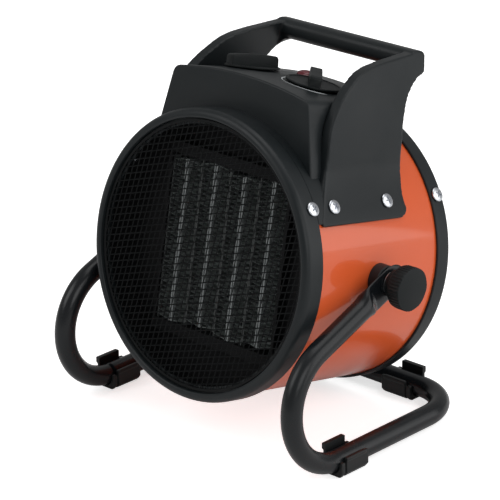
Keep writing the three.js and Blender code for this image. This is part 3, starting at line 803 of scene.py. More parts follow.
# Pale tone for the dial arc: a printed line, and painted highlight where the arc is wide.
DIAL_PRINT_AND_HIGHLIGHT = Finish(
    "panel_print", (0.42, 0.44, 0.45), (0.36, 0.38, 0.39), roughness=(0.45, 0.55), grain=1600.0,
    relief=0.008)
ELEMENT_TUBE = Finish(
    "element_tube", (0.3, 0.32, 0.32), (0.23, 0.25, 0.25), roughness=(0.35, 0.46), metallic=0.5,
    lines=True, grain=1200.0, relief=0.008)
# Near-black coat of painted shade, standing in for the shade inside the drum, on the shell's inside and the
# duct walls.
INSIDE_SHADE = Finish(
    "heat_lining", (0.0045, 0.0045, 0.005), (0.0065, 0.0065, 0.007), roughness=(0.6, 0.75),
    specular=0.15, relief=0.02)
# Darker coat for the plates at the element rows' edges: painted shade in the gaps between the rows.
ELEMENT_EDGE_SHADE = Finish(
    "element_edge", (0.075, 0.082, 0.08), (0.045, 0.05, 0.05), roughness=(0.5, 0.62), metallic=0.3,
    lines=True, grain=1200.0, relief=0.008)


class Paintshop:
    """Makes each finish's material once."""

    def __init__(self) -> None:
        """Starts with the shared effects and no materials."""
        self.effects = Effects()
        self.made: dict[str, bpy.types.Material] = {}

    def get(self, finish: str | Finish) -> bpy.types.Material:
        """The material of a finish or of a record's slot.

        Args:
            finish: A slot's name or a finish.

        Returns:
            The material.
        """
        wanted = FINISHES[finish] if isinstance(finish, str) else finish
        if wanted.name not in self.made:
            self.made[wanted.name] = wanted.make(self.effects)
        return self.made[wanted.name]


# ---------------------------------------------------------------- places


@dataclass
class Places:
    """The frames that the sub-assemblies are set in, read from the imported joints."""

    joints: dict[str, dict]

    def drum(self) -> Matrix:
        """The drum's own frame: Y along its axis from the front ring's face, Z up from the axis."""
        spin = self.joints["fan_spin"]
        tilt = math.atan2(-spin["axis"][2], spin["axis"][1])
        return Matrix.Translation(spin["pos_m"]) @ Matrix.Rotation(-tilt, 4, "X") @ MM

    def control(self, joint: str) -> Matrix:
        """The frame of a control knob, on the panel and with Z out of it.

        Args:
            joint: The knob's joint.

        Returns:
            Its frame.
        """
        found = self.joints[joint]
        turn = Vector((0, 0, 1)).rotation_difference(self._in_drum(found["axis"])).to_matrix().to_4x4()
        at = self.drum().inverted() @ Vector(found["pos_m"])
        return self.drum() @ Matrix.Translation(at) @ turn

    def _in_drum(self, direction: Sequence[float]) -> Vector:
        """A row direction seen in the drum's frame."""
        return (self.drum().to_3x3().inverted() @ Vector(direction)).normalized()

    def pivot(self) -> Vector:
        """The tilt axis, in the row frame in millimetres."""
        return Vector(self.joints["drum_tilt"]["pos_m"]) * 1000


# ---------------------------------------------------------------- drum


@dataclass
class Drum:
    """The steel shell with its two rings and two grilles."""

    places: Places
    paint: Paintshop
    shell: float = 92.2
    sheet: float = 0.8
    shell_from: float = 6.0
    shell_to: float = 131.0
    front_outer: float = 95.0
    rear_outer: float = 94.0
    wall: float = 92.6
    front_end: float = 14.5
    rear_start: float = 127.3
    depth: float = 140.5
    nose: float = 88.6
    lip: float = 84.6
    lip_front: float = 3.6
    lip_back: float = 5.4
    rear_nose: float = 87.4
    rear_lip: float = 84.0
    rear_seat: float = 137.7
    rear_inside: float = 135.8
    grille_radius: float = 87.6
    grille_open: float = 86.0
    grille_front: float = 1.9
    grille_thick: float = 1.4
    mesh_row: Point2 = (4.526, 1.333)
    mesh_column: Point2 = (0.936, 4.816)
    mesh_wire: float = 0.86

    def build(self) -> None:
        """Makes and dresses the drum's outside, and paints shade on the shell's inside."""
        place = self.places.drum()
        rows = [(self._front_ring(), "black_plastic", "front_ring"),
                (self._shell(), "orange_enamel", "drum_shell"),
                (self._rear_ring(), "black_plastic", "rear_ring"),
                (self._mesh(), "grille_black", "front_grille")]
        for piece, slot, node in rows:
            finished(piece, place, self.paint.get(slot), "drum", [node])
        # The shell's inside gets the near-black coat of painted shade.
        inside = self.shell - self.sheet * 0.6
        second_coat(rows[1][0], self.paint.get(INSIDE_SHADE), place, lambda at: math.hypot(at.x, at.z) < inside)

    def _front_ring(self) -> bpy.types.Object:
        """Moulded ring with a full nose, a lip for the grille and a step over the shell.

        Returns:
            The ring.
        """
        outer, wall, end = self.front_outer, self.wall, self.front_end
        profile = [(wall, end), (outer - 0.5, end), (outer, end - 0.5)]
        profile += arc((outer - 4.6, 4.3), (4.6, 4.9), 0, -90, 10)
        profile += arc((outer - 5.0, 0.6), (1.4, 1.2), -90, -180, 5)
        lip, seat, back = self.lip, self.lip_front, self.lip_back
        profile += [(self.nose, seat), (lip, seat), (lip, back), (wall, back)]
        return turned("front_ring_piece", profile, RING_STEPS)

    def _rear_ring(self) -> bpy.types.Object:
        """Moulded ring round the air inlet.

        Returns:
            The ring.
        """
        outer, wall, start, depth = self.rear_outer, self.wall, self.rear_start, self.depth
        profile = [(wall, start), (outer - 0.5, start), (outer, start + 0.5)]
        profile += arc((outer - 3.6, depth - 3.6), (3.6, 3.6), 0, 90, 8)
        profile += arc((88.8, depth - 1.4), (1.4, 1.4), 90, 180, 4)
        lip, seat, inside = self.rear_lip, self.rear_seat, self.rear_inside
        profile += [(self.rear_nose, seat), (lip, seat), (lip, inside), (wall, inside)]
        return turned("rear_ring_piece", profile, RING_STEPS)

    def _shell(self) -> bpy.types.Object:
        """Rolled sheet tube with softened edges.

        Returns:
            The tube.
        """
        r, t = self.shell, self.sheet
        profile = [(r - t, self.shell_from), (r - 0.2, self.shell_from), (r, self.shell_from + 0.2),
                   (r, self.shell_to - 0.2), (r - 0.2, self.shell_to), (r - t, self.shell_to)]
        return turned("drum_shell_piece", profile, SHELL_STEPS)

    def _mesh(self) -> bpy.types.Object:
        """Fine mesh in a flat rim, whose two rows of wires cross at a slant.

        Returns:
            The grille.
        """
        row, column = self.mesh_row, self.mesh_column
        cells = 2 * math.ceil(1.25 * self.grille_open / row[0])
        middle = self.grille_front + self.grille_thick / 2
        deselect()
        bpy.ops.mesh.primitive_grid_add(x_subdivisions=cells, y_subdivisions=cells, size=cells)
        net = named("front_mesh")
        slant = Matrix(((row[0], column[0], 0, 0), (row[1], column[1], 0, 0), (0, 0, 1, 0), (0, 0, 0, 1)))
        moved(net, slant)
        reach = self.grille_open + 1.0
        pick(net)
        bpy.ops.object.mode_set(mode="EDIT")
        cells_of = bmesh.from_edit_mesh(net.data)
        for face in cells_of.faces:
            face.select_set(face.calc_center_median().length > reach)
        bmesh.update_edit_mesh(net.data)
        bpy.ops.mesh.delete(type="FACE")
        bpy.ops.object.mode_set(mode="OBJECT")
        for vertex in net.data.vertices:
            vertex.co *= min(1.0, reach / max(vertex.co.length, 1.0))
        apply_modifier(net, "WIREFRAME", thickness=self.mesh_wire, use_replace=True, use_even_offset=True,
                       use_boundary=True)
        moved(net, Matrix.Translation((0, middle, 0)) @ Matrix.Rotation(math.radians(90), 4, "X"))
        low, high = self.grille_front, self.grille_front + self.grille_thick
        edge = [(self.grille_open, low + 0.3), (self.grille_open + 0.3, low), (self.grille_radius, low),
                (self.grille_radius, high), (self.grille_open, high)]
        rim = turned("front_rim", edge, RING_STEPS)
        deselect()
        rim.select_set(True)
        net.select_set(True)
        bpy.context.view_layer.objects.active = net
        bpy.ops.object.join()
        return named("front_mesh_piece")


@dataclass
class Screws:
    """Pan head screws with a cross recess, round the rings and on the saddle."""

    places: Places
    paint: Paintshop
    head: float = 4.75
    height: float = 1.9
    shank: float = 1.9
    angle: float = 31.0
    gap: float = 0.3
    seats: dict[str, Point2] = field(default_factory=lambda: {
        "front_ring_screw": (95.0, 11.5), "rear_ring_screw": (94.0, 133.5),
        "handle_screw_front": (94.6, 31.8), "handle_screw_rear": (94.6, 82.7)})

    def build(self) -> None:
        """Models one screw and sets a copy on each seat."""
        pattern = self._screw()
        for name, (seat, back) in self.seats.items():
            for side in Side:
                lean = math.radians(self.angle)
                across = Vector((side.value * math.cos(lean), 0, math.sin(lean)))
                turn = Vector((0, 0, 1)).rotation_difference(across).to_matrix().to_4x4()
                at = across * (seat + self.gap) + Vector((0, back, 0))
                twist = Matrix.Rotation(math.radians(17 * side.value + back), 4, "Z")
                node = f"{name}_{side.name.lower()}"
                piece = copied(pattern, f"{node}_piece")
                finished(piece, self.places.drum() @ Matrix.Translation(at) @ turn @ twist,
                         self.paint.get("zinc_screw"), "drum", [node])
        bpy.data.objects.remove(pattern)

    def _screw(self) -> bpy.types.Object:
        """A screw that stands on the origin with its head up.

        Returns:
            The screw.
        """
        profile = [(0.0, -8.2), (self.shank - 0.5, -8.2), (self.shank, -7.4), (self.shank, 0.0),
                   (self.head - 0.2, 0.0), (self.head, 0.25), (self.head, 0.75)]
        profile += arc((0.0, 0.75), (self.head, self.height - 0.75), 12, 90, 6)
        screw = moved(turned("screw", profile, 32), Matrix.Rotation(math.radians(90), 4, "X"))
        wing, top = 2.5, self.height + 0.2
        for across in (0, 90):
            slot = block("slot", (-wing, -0.55, top - 1.5), (wing, 0.55, top))
            moved(slot, Matrix.Rotation(math.radians(across), 4, "Z"))
            combined(screw, slot, Cut.SUBTRACT)
        return screw


# ---------------------------------------------------------------- handle and housing


@dataclass
class HandleShape:
    """Outline and lean of the handle's side plates, which the housing is cut to clear."""

    lean: float = 0.25
    curl: float = 0.00288
    lean_height: float = 114.5
    half_width: float = 66.6
    plate: float = 8.0
    saddle: float = 94.6
    blend: float = 12.0

    def outline(self) -> list[Point2]:
        """Outline of a plate as (behind the front face, above the axis).

        Returns:
            The closed outline.
        """
        points = [(20.0, 37.6)]
        points += quadratic((20.0, 37.6), (17.4, 38.2), (18.6, 42.0))
        points += [(26.6, 58.0)]
        points += through([(26.6, 58.0), (30.9, 70.0), (33.4, 93.5), (41.4, 108.7), (54.0, 120.9),
                           (72.3, 131.0), (113.0, 138.2)])
        points += [(123.0, 139.8)]
        points += quadratic((123.0, 139.8), (129.2, 140.0), (129.2, 134.6))
        points += [(129.2, 129.5)]
        points += quadratic((129.2, 129.5), (129.0, 127.3), (125.2, 125.8), 4)
        points += through([(125.2, 125.8), (117.2, 121.6), (107.6, 110.1), (103.2, 92.0), (103.2, 70.0),
                           (101.6, 57.0)])
        points += quadratic((101.6, 57.0), (99.4, 50.0), (100.8, 43.3))
        points += quadratic((100.8, 43.3), (99.5, 38.4), (92.7, 37.6))
        return points

    def side_at(self, height: float) -> float:
        """How far a plate's outer face stands out.

        Args:
            height: Height above the drum's axis.

        Returns:
            The distance from the middle.
        """
        below = self.lean_height - height
        upright = self.half_width + self.lean * below - self.curl * max(below, 0.0) ** 2
        saddle = math.sqrt(max(self.saddle ** 2 - height ** 2, 0.0))
        close = max(1 - abs(upright - saddle) / self.blend, 0.0)
        return max(upright, saddle) + self.blend / 4 * close ** 2

    def plate_block(self, name: str, inner: float, outer: float, bottom: float) -> bpy.types.Object:
        """A right-hand plate that leans as the real one does.

        Args:
            name: The block's name.
            inner: Its inner face, from the outer face's place.
            outer: Its outer face, from the same place.
            bottom: Where it is cut off below.

        Returns:
            The block.
        """
        flat = extruded(name, [(inner, y, z) for y, z in self.outline()], (outer - inner, 0, 0))

        def slices() -> None:
            """Cuts the flat plate across, so that it can follow its lean."""
            for i in range(34):
                bpy.ops.mesh.select_all(action="SELECT")
                bpy.ops.mesh.bisect(plane_co=(0, 0, bottom + 0.01 + i * 2.6), plane_no=(0, 0, 1),
                                    clear_inner=i == 0, use_fill=i == 0, threshold=0.0001)

        in_edit_mode(flat, slices)
        for vertex in flat.data.vertices:
            vertex.co.x += self.side_at(vertex.co.z)
        return tidy(flat)


@dataclass
class Handle:
    """Carry handle: two leaning side plates, a cross grip and the saddle on the drum."""

    places: Places
    paint: Paintshop
    shape: HandleShape
    saddle: float = 94.6
    saddle_top: float = 69.2
    saddle_inside: float = 90.5
    bottom: float = 36.0
    drum_clear: float = 92.5
    grip_low: Point2 = (114.5, 126.8)
    grip_high: Point2 = (129.2, 140.2)
    grip_round: float = 5.5
    plan_corner: float = 11.0
    fillet: float = 7.0
    voxel: float = 0.75
    softening: int = 9

    def build(self) -> None:
        """Makes the handle as one moulding."""
        right = self.shape.plate_block("plate", -self.shape.plate, 0.0, self.bottom)
        combined(right, self._rear_corners(), Cut.SUBTRACT)
        parts = [right, self._saddle(), self._gusset()]
        for part in list(parts):
            parts.append(moved(copied(part, part.name + "_left"), Matrix.Scale(-1, 4, (1, 0, 0))))
        outline = rounded_rectangle(self.grip_low, self.grip_high, self.grip_round)
        grip = extruded("grip", [(-60.0, y, z) for y, z in outline], (120.0, 0, 0))
        parts.append(combined(grip, self._rear_corners(), Cut.SUBTRACT))
        whole = fused("handle_piece", parts, self.voxel, self.softening)
        combined(whole, bar("core", (0, -20, 0), (0, 160, 0), self.drum_clear, SHELL_STEPS), Cut.SUBTRACT)
        finished(whole, self.places.drum(), self.paint.get("black_plastic"), "drum",
                 ["handle"], angle=40.0)

    def _gusset(self) -> bpy.types.Object:
        """Rounds the corner between the right-hand plate and the grip's underside.

        Returns:
            The fillet.
        """
        under = self.grip_low[1]
        edge = self.shape.side_at(under) - self.shape.plate
        centre = (edge - self.fillet, under - self.fillet)
        reach = self.shape.lean * self.fillet
        section = [(x + reach * (under - z) / self.fillet, z)
                   for x, z in arc(centre, (self.fillet, self.fillet), 0, 90, 12)]
        section += [(centre[0], under + 3), (edge + 3, under + 3), (edge + 4, centre[1])]
        depth = self.grip_high[0] - self.grip_low[0] - 3.0
        wedge = extruded("gusset", [(x, self.grip_low[0] + 1.5, z) for x, z in section], (0, depth, 0))
        area = extruded("area", [(30.0, y, z) for y, z in self.shape.outline()], (40.0, 0, 0))
        return combined(wedge, area, Cut.KEEP_COMMON)

    def _rear_corners(self) -> bpy.types.Object:
        """What is cut away behind the grip, so that its ends are rounded when seen from above.

        Returns:
            The cutter.
        """
        top, rear = self.grip_high[1], self.grip_high[0]
        half = self.shape.side_at(top)
        start = rear - self.plan_corner
        outline = [(-half - 30, start), (-half, start)]
        outline += arc((self.plan_corner - half, start), (self.plan_corner, self.plan_corner), 180, 90, 12)
        outline += arc((half - self.plan_corner, start), (self.plan_corner, self.plan_corner), 90, 0, 12)
        outline += [(half + 30, start), (half + 30, rear + 20), (-half - 30, rear + 20)]
        cutter = extruded("rear_corners", [(x, y, 110.0) for x, y in outline], (0, 0, 50))
        for vertex in cutter.data.vertices:
            vertex.co.x += math.copysign(self.shape.lean * (top - vertex.co.z), vertex.co.x)
        return cutter

    def _saddle(self) -> bpy.types.Object:
        """The right-hand half of the saddle, cut from a thick tube by the plate's outline.

        Returns:
            The saddle.
        """
        skin = bar("saddle", (0, 0, 0), (0, 150, 0), self.saddle, SHELL_STEPS)
        area = extruded("area", [(50.0, y, z) for y, z in self.shape.outline()], (60.0, 0, 0))
        combined(skin, area, Cut.KEEP_COMMON)
        combined(skin, bar("inside", (0, -1, 0), (0, 151, 0), self.saddle_inside, SHELL_STEPS), Cut.SUBTRACT)
        return combined(skin, block("above", (0, 0, self.saddle_top), (130, 150, 160)), Cut.SUBTRACT)


@dataclass
class ControlHousing:
    """Hollow housing on top of the drum, with an arched panel that falls to the rear."""

    places: Places
    paint: Paintshop
    shape: HandleShape
    front: float = 21.0
    rear: float = 101.5
    crown: float = 118.0
    fall: float = 0.07
    arch: float = 295.0
    half_width: float = 59.0
    taper: float = 0.213
    foot: float = 57.0
    fillet: float = 5.0
    wall: float = 2.5
    side_wall: float = 5.5
    skirt: float = 94.6
    skirt_from: float = 14.8
    skirt_to: float = 28.0
    drum_clear: float = 92.5
    clearance: float = 0.3
    knob_side: float = 27.2
    knob_back: float = 60.8
    knob_hole: float = 4.4
    lamp_back: float = 84.0
    lamp_hole: float = 5.3

    def panel(self, x: float, y: float) -> float:
        """Height of the panel above the drum's axis.

        Args:
            x: Across the panel.
            y: Behind the front ring's face.

        Returns:
            The height.
        """
        return self.crown - self.fall * (y - self.front) - x * x / 2 / self.arch

    def build(self) -> None:
        """Makes the housing and cuts it to its neighbours."""
        whole = bevelled(self._prism("control_housing_piece", 0.0, 0.0, self.front, self.rear), 1.3, 4, 50)
        combined(whole, self._skirt(), Cut.JOIN)
        start, end = self.front + self.wall, self.rear - self.wall
        hollow = self._prism("hollow", self.side_wall, self.wall, start, end)
        combined(whole, hollow, Cut.SUBTRACT)
        combined(whole, bar("core", (0, -20, 0), (0, 160, 0), self.drum_clear, SHELL_STEPS), Cut.SUBTRACT)
        for side in Side:
            plate = self.shape.plate_block("plate_room", -self.shape.plate - self.clearance, 30.0, 34.0)
            moved(plate, Matrix.Diagonal((side.value, 1, 1, 1)))
            combined(whole, plate, Cut.SUBTRACT)
            self._bore(whole, side.value * self.knob_side, self.knob_back, self.knob_hole)
        self._bore(whole, 0.0, self.lamp_back, self.lamp_hole)
        finished(whole, self.places.drum(), self.paint.get("black_plastic"), "drum",
                 ["control_housing"], angle=28.0)
        self._print()

    def _section(self, inset: float, under: float) -> list[Point2]:
        """The housing's section across the drum, inset from its sides and its panel.

        Args:
            inset: Distance from the housing's sides.
            under: Distance under its panel.

        Returns:
            The outline as (across, above the axis).
        """
        half = self.half_width - inset
        edge = self.crown - under - half * half / 2 / self.arch
        bottom = half + self.taper * (edge - self.foot)
        right = [(bottom, self.foot), (half + self.taper * self.fillet, edge - self.fillet)]
        corner = (half - self.fillet, edge + 0.8)
        right += quadratic(right[-1], (half, edge), corner, 8)
        steps = 20
        across = [corner[0] * (1 - 2 * i / steps) for i in range(1, steps)]
        rise = self.crown - under - corner[1]
        top = [(x, corner[1] + rise * (1 - (x / corner[0]) ** 2)) for x in across]
        left = [(-x, z) for x, z in reversed(right)]
        return right + top + left

    def _prism(self, name: str, inset: float, under: float, start: float, end: float) -> bpy.types.Object:
        """A length of the housing's section that falls to the rear.

        Args:
            name: The piece's name.
            inset: Distance from the housing's sides.
            under: Distance under its panel.
            start: Where it begins, behind the front ring's face.
            end: Where it ends.

        Returns:
            The solid.
        """
        section = [(x, start, z) for x, z in self._section(inset, under)]
        piece = extruded(name, section, (0, end - start, 0))
        for vertex in piece.data.vertices:
            vertex.co.z -= self.fall * (vertex.co.y - self.front)
        return piece

    def _skirt(self) -> bpy.types.Object:
        """Thin collar on the drum between the front ring and the housing.

        Returns:
            The collar.
        """
        outer = arc((0, 0), (self.skirt, self.skirt), 25, 155, 72)
        inner = arc((0, 0), (self.drum_clear - 2, self.drum_clear - 2), 155, 25, 72)
        section = [(x, self.skirt_from, z) for x, z in outer + inner]
        return extruded("skirt", section, (0, self.skirt_to - self.skirt_from, 0))

    def _bore(self, whole: bpy.types.Object, x: float, y: float, radius: float) -> None:
        """Cuts a round hole through the panel, square to it.

        Args:
            whole: The housing.
            x: The hole's place across the panel.
            y: Its place behind the front ring's face.
            radius: Its radius.
        """
        out = Vector((x / self.arch, self.fall, 1)).normalized()
        at = Vector((x, y, self.panel(x, y)))
        combined(whole, bar("bore", at - out * 9, at + out * 5, radius, 32), Cut.SUBTRACT)

    def _print(self) -> None:
        """A pale arc round the thermostat knob: a fine printed line in the middle, widened near its ends into
        painted highlights of light on the rim round the knob.
        """
        steps, radius, width, lift = 60, 20.6, 1.6, 0.06
        points = []
        for i in range(steps + 1):
            a = math.radians(150 + 188 * i / steps)
            # The full width near the ends is painted highlight; the fine middle is the printed line.
            half = width / 2 * abs(math.cos(math.pi * i / steps)) * min(1.0, i / 4, (steps - i) / 4) + 0.12
            for r in (radius - half, radius + half):
                x, y = self.knob_side + r * math.cos(a), self.knob_back + r * math.sin(a)
                points.append((x, y, self.panel(x, y) + lift))
        faces = [(2 * i, 2 * i + 1, 2 * i + 3, 2 * i + 2) for i in range(steps)]
        mark = sketched("dial_crescent", points, faces)
        apply_modifier(mark, "SOLIDIFY", thickness=0.08, offset=-1.0)
        finished(mark, self.places.drum(), self.paint.get(DIAL_PRINT_AND_HIGHLIGHT), "drum")


@dataclass
class Controls:
    """Both control knobs, the indicator lens and the cable gland."""

    places: Places
    paint: Paintshop
    disc: float = 18.5
    disc_height: float = 2.0
    bar_width: float = 7.8
    height: float = 9.4
    lift: float = 0.5
    bore: float = 3.15
    mode_turn: float = 75.0
    thermostat_turn: float = -48.0

    def build(self) -> None:
        """Makes the controls and sets them in place."""
        knob = self._knob()
        rows = [("mode_knob", "mode_turn", self.mode_turn, "mode_control"),
                ("thermostat_knob", "thermostat_turn", self.thermostat_turn, "thermostat_control")]
        for node, joint, turn, body in rows:
            place = self.places.control(joint) @ Matrix.Rotation(math.radians(turn), 4, "Z")
            finished(copied(knob, f"{node}_piece"), place, self.paint.get("knob_black"), body,
                     [node], angle=25.0)
        bpy.data.objects.remove(knob)
        self._lens()
        self._gland()

    def _knob(self) -> bpy.types.Object:
        """A flat disc with a full-width grip bar across it.

        Returns:
            The knob.
        """
        low, high = self.lift, self.lift + self.disc_height
        profile = [(0.0, low), (self.disc - 0.4, low), (self.disc, low + 0.4), (self.disc, high - 1.0),
                   (self.disc - 0.2, high - 0.6), (self.disc - 0.6, high - 0.5),
                   (self.disc - 1.6, high - 0.5), (self.disc - 2.0, high - 1.0), (0.0, high - 1.0)]
        disc = moved(turned("knob", profile, 96), Matrix.Rotation(math.radians(90), 4, "X"))
        reach = math.sqrt(self.disc ** 2 - (self.bar_width / 2) ** 2)
        side, shoulder, round_top = self.height - 3.0, self.height - 0.5, self.height + 0.5
        outline = [(-reach, low), (reach, low), (reach - 0.3, side)]
        outline += quadratic((reach - 0.3, side), (reach - 0.5, shoulder), (reach - 3.2, shoulder), 6)
        outline += quadratic((reach - 3.2, shoulder), (0.0, round_top), (3.2 - reach, shoulder), 12)
        outline += quadratic((3.2 - reach, shoulder), (0.5 - reach, shoulder), (0.3 - reach, side), 6)
        grip = extruded("grip_bar", [(x, -self.bar_width / 2, z) for x, z in outline], (0, self.bar_width, 0))
        bevelled(grip, 0.6, 3, 40)
        combined(disc, grip, Cut.JOIN)
        return combined(disc, bar("hole", (0, 0, -1), (0, 0, self.height - 2.6), self.bore, 24), Cut.SUBTRACT)

    def _lens(self) -> None:
        """Domed lens on a thin flange."""
        profile = [(0.0, -7.0), (4.8, -7.0), (4.8, 0.3), (6.4, 0.3), (6.6, 0.5), (6.6, 0.8), (6.4, 1.0)]
        profile += arc((0.0, 0.9), (6.2, 2.6), 6, 90, 10)
        lens = moved(turned("indicator_lens_piece", profile, 48), Matrix.Rotation(math.radians(90), 4, "X"))
        housing = ControlHousing(self.places, self.paint, HandleShape())
        at = Matrix.Translation((0, housing.lamp_back, housing.panel(0, housing.lamp_back)))
        lean = Matrix.Rotation(-math.atan(housing.fall), 4, "X")
        finished(lens, self.places.drum() @ at @ lean, self.paint.get("red_lens"), "drum",
                 ["indicator_lens"])

    def _gland(self) -> None:
        """Gland at the rear of the housing: a hexagon nut and a domed, grooved cap with an open bore."""
        face, side, height = 101.8, -30.0, 99.0
        profile = [(3.8, -6.0), (6.0, -6.0), (6.0, 4.6), (5.5, 5.0), (5.5, 5.6), (6.0, 6.0), (6.0, 10.0)]
        profile += arc((4.4, 10.4), (1.6, 2.6), 0, 90, 6)
        profile += [(3.8, 12.6)]
        sleeve = turned("cable_gland_piece", profile, 40)
        nut = bevelled(bar("nut", (0, 0, 0), (0, 4, 0), 8.0, 6), 0.5, 2)
        combined(nut, bar("through", (0, -1, 0), (0, 5, 0), 5.0, 32), Cut.SUBTRACT)
        combined(sleeve, nut, Cut.JOIN)
        finished(sleeve, self.places.drum() @ Matrix.Translation((side, face, height)),
                 self.paint.get("dark_plastic"), "drum", ["cable_gland"])


# ---------------------------------------------------------------- element


@dataclass
class Element:
    """Four rows of the ceramic element: tubes with fine corrugated fins on both sides."""

    places: Places
    paint: Paintshop
    front: float = 22.0
    depth: float = 15.0
    pitch: float = 25.7
    gap: float = 0.3
    half_height: float = 54.5
    step: float = 1.2
    strip: float = 3.0
    plate: float = 0.8
    recess: float = 0.9
    folds: int = 66
    foil: float = 0.34

    def build(self) -> None:
        """Models one row, then copies it into four places."""
        fins, tube = self._fins(), self._tube()
        for index in range(4):
            rise = self.step if index % 2 else -self.step
            place = self.places.drum() @ Matrix.Translation(((index - 1.5) * self.pitch, 0, rise))
            node = f"element_module_{index + 1}"
            foils = finished(copied(fins, f"{node}_fins"), place, self.paint.get("element_aluminium"),
                             "drum", [node], angle=20.0)
            # The closing plates at each row's edges get the darker coat of painted shade for the gaps between
            # the rows.
            edge = (self.pitch - self.gap) / 2 - self.plate - 0.02
            second_coat(foils, self.paint.get(ELEMENT_EDGE_SHADE), place, lambda at: abs(at.x) > edge)
            finished(copied(tube, f"{node}_tube"), place, self.paint.get(ELEMENT_TUBE),
                     "drum", [node], angle=20.0)
        bpy.data.objects.remove(fins)
        bpy.data.objects.remove(tube)

    def _fins(self) -> bpy.types.Object:
        """Two zigzag foils, one on each side of the tube, and the plates that close them.

        Returns:
            The foils and plates.
        """
        half = (self.pitch - self.gap) / 2
        inmost, outmost = self.strip / 2 - 0.1, half - self.plate + 0.2
        spans = [(inmost, outmost), (-inmost, -outmost)]
        start, end = self.front + 0.8, self.front + self.depth - 0.8
        points, edges = [], []
        for inner, outer in spans:
            base = len(points)
            for k in range(self.folds + 1):
                z = -self.half_height + 0.4 + k * (2 * self.half_height - 0.8) / self.folds
                points.append((outer if k % 2 else inner, start, z))
            edges += [(base + k, base + k + 1) for k in range(self.folds)]
        foil = sketched("fins", points, edges=edges)

        def work() -> None:
            """Pulls the folded lines back into foils."""
            bpy.ops.mesh.extrude_region_move(TRANSFORM_OT_translate={"value": (0, end - start, 0)})

        in_edit_mode(foil, work)
        apply_modifier(foil, "SOLIDIFY", thickness=self.foil, offset=0.0)
        for low, high in ((-half, self.plate - half), (half - self.plate, half)):
            plate = block("outer_plate", (low, self.front + self.recess, -self.half_height),
                          (high, end, self.half_height))
            deselect()
            plate.select_set(True)
            foil.select_set(True)
            bpy.context.view_layer.objects.active = foil
            bpy.ops.object.join()
        return foil

    def _tube(self) -> bpy.types.Object:
        """The flat tube that holds the ceramic, grooved in front.

        Returns:
            The tube.
        """
        start, end, tall = self.front, self.front + self.depth, self.half_height
        tube = bevelled(block("tube", (-self.strip / 2, start, -tall), (self.strip / 2, end, tall)), 0.3, 2)
        groove = block("groove", (-0.5, start - 1, -tall - 1), (0.5, start + 0.9, tall + 1))
        return combined(tube, groove, Cut.SUBTRACT)


# ---------------------------------------------------------------- pivots


@dataclass
class Pivots:
    """Spacers and clamping knobs on the tilt axis."""

    places: Places
    paint: Paintshop
    back: float = 70.9
    rise: float = 1.2
    spacer: float = 10.3
    bore: float = 4.5
    inner_end: float = 99.8
    hub: float = 9.2
    flange: float = 13.7
    radius: float = 14.2
    lobe: float = 0.1
    lobes: int = 8
    rib: float = 0.2
    ribs: int = 40
    start: float = 111.3
    end: float = 121.1
    neck: float = 105.2
    stud: float = 4.3
    cap: float = 3.5

    def build(self) -> None:
        """Makes the right-hand pieces and mirrors them to the left."""
        rows = [("pivot_spacer", self._spacer(), "black_plastic", "drum"),
                ("lock_knob", self._knob(), "knob_black", "clamp")]
        for name, pattern, slot, body in rows:
            for side in Side:
                place = self.places.drum() @ Matrix.Diagonal((side.value, 1, 1, 1))
                place = place @ Matrix.Translation((0, self.back, self.rise))
                tail = side.name.lower()
                rides = f"clamp_{tail}" if body == "clamp" else body
                finished(copied(pattern, f"{name}_{tail}_piece"), place, self.paint.get(slot), rides,
                         [f"{name}_{tail}"], angle=25.0)
            bpy.data.objects.remove(pattern)

    def _spacer(self) -> bpy.types.Object:
        """Turned spacer whose inner end is cut to the drum.

        Returns:
            The spacer.
        """
        profile = [(self.bore, 80.0), (self.spacer, 80.0), (self.spacer, self.inner_end - 0.6),
                   (self.spacer - 0.6, self.inner_end), (self.bore, self.inner_end)]
        piece = moved(turned("spacer", profile, 48), Matrix.Rotation(math.radians(-90), 4, "Z"))
        core = bar("core", (0, -self.back - 20, -self.rise), (0, 90, -self.rise), 92.5, 192)
        return combined(piece, core, Cut.SUBTRACT)

    def _knob(self) -> bpy.types.Object:
        """Clamping knob: plain hub, flange, lobed and finely ribbed grip, flat face.

        Returns:
            The knob.
        """
        count = 8 * self.ribs
        stations = [(self.start + 1.4, 0.9, 1.0), (self.start + 1.9, 0.99, 1.0), (self.end - 0.9, 1.0, 1.0),
                    (self.end - 0.35, 0.99, 0.8), (self.end - 0.1, 0.975, 0.3), (self.end, 0.955, 0.0)]
        points = []
        for x, share, ribbing in stations:
            for i in range(count):
                a = 2 * math.pi * i / count
                r = (self.radius + self.lobe * math.cos(self.lobes * a)) * share
                r += ribbing * self.rib * math.cos(self.ribs * a)
                points.append((x, r * math.cos(a), r * math.sin(a)))
        faces = [tuple(range(count))[::-1], tuple(range(len(points) - count, len(points)))]
        for k in range(len(stations) - 1):
            for i in range(count):
                j = (i + 1) % count
                faces.append((k * count + i, k * count + j, (k + 1) * count + j, (k + 1) * count + i))
        grip = tidy(sketched("grip", points, faces))
        start, flange = self.start, self.flange
        stem = [(0.0, self.neck), (self.hub, self.neck), (self.hub, start), (flange - 0.4, start),
                (flange, start + 0.4), (flange, start + 1.6), (flange - 0.4, start + 2), (0.0, start + 2)]
        body = moved(turned("stem", stem, 64), Matrix.Rotation(math.radians(-90), 4, "Z"))
        combined(grip, body, Cut.JOIN)
        bore = bar("blind_bore", (90, 0, 0), (self.end - self.cap, 0, 0), self.stud, 24)
        return combined(grip, bore, Cut.SUBTRACT)


# ---------------------------------------------------------------- stand


@dataclass
class Station:
    """One section of a swept tube."""

    at: Vector
    along: Vector
    thick: float
    wide: float
    pinch: float = 0.0


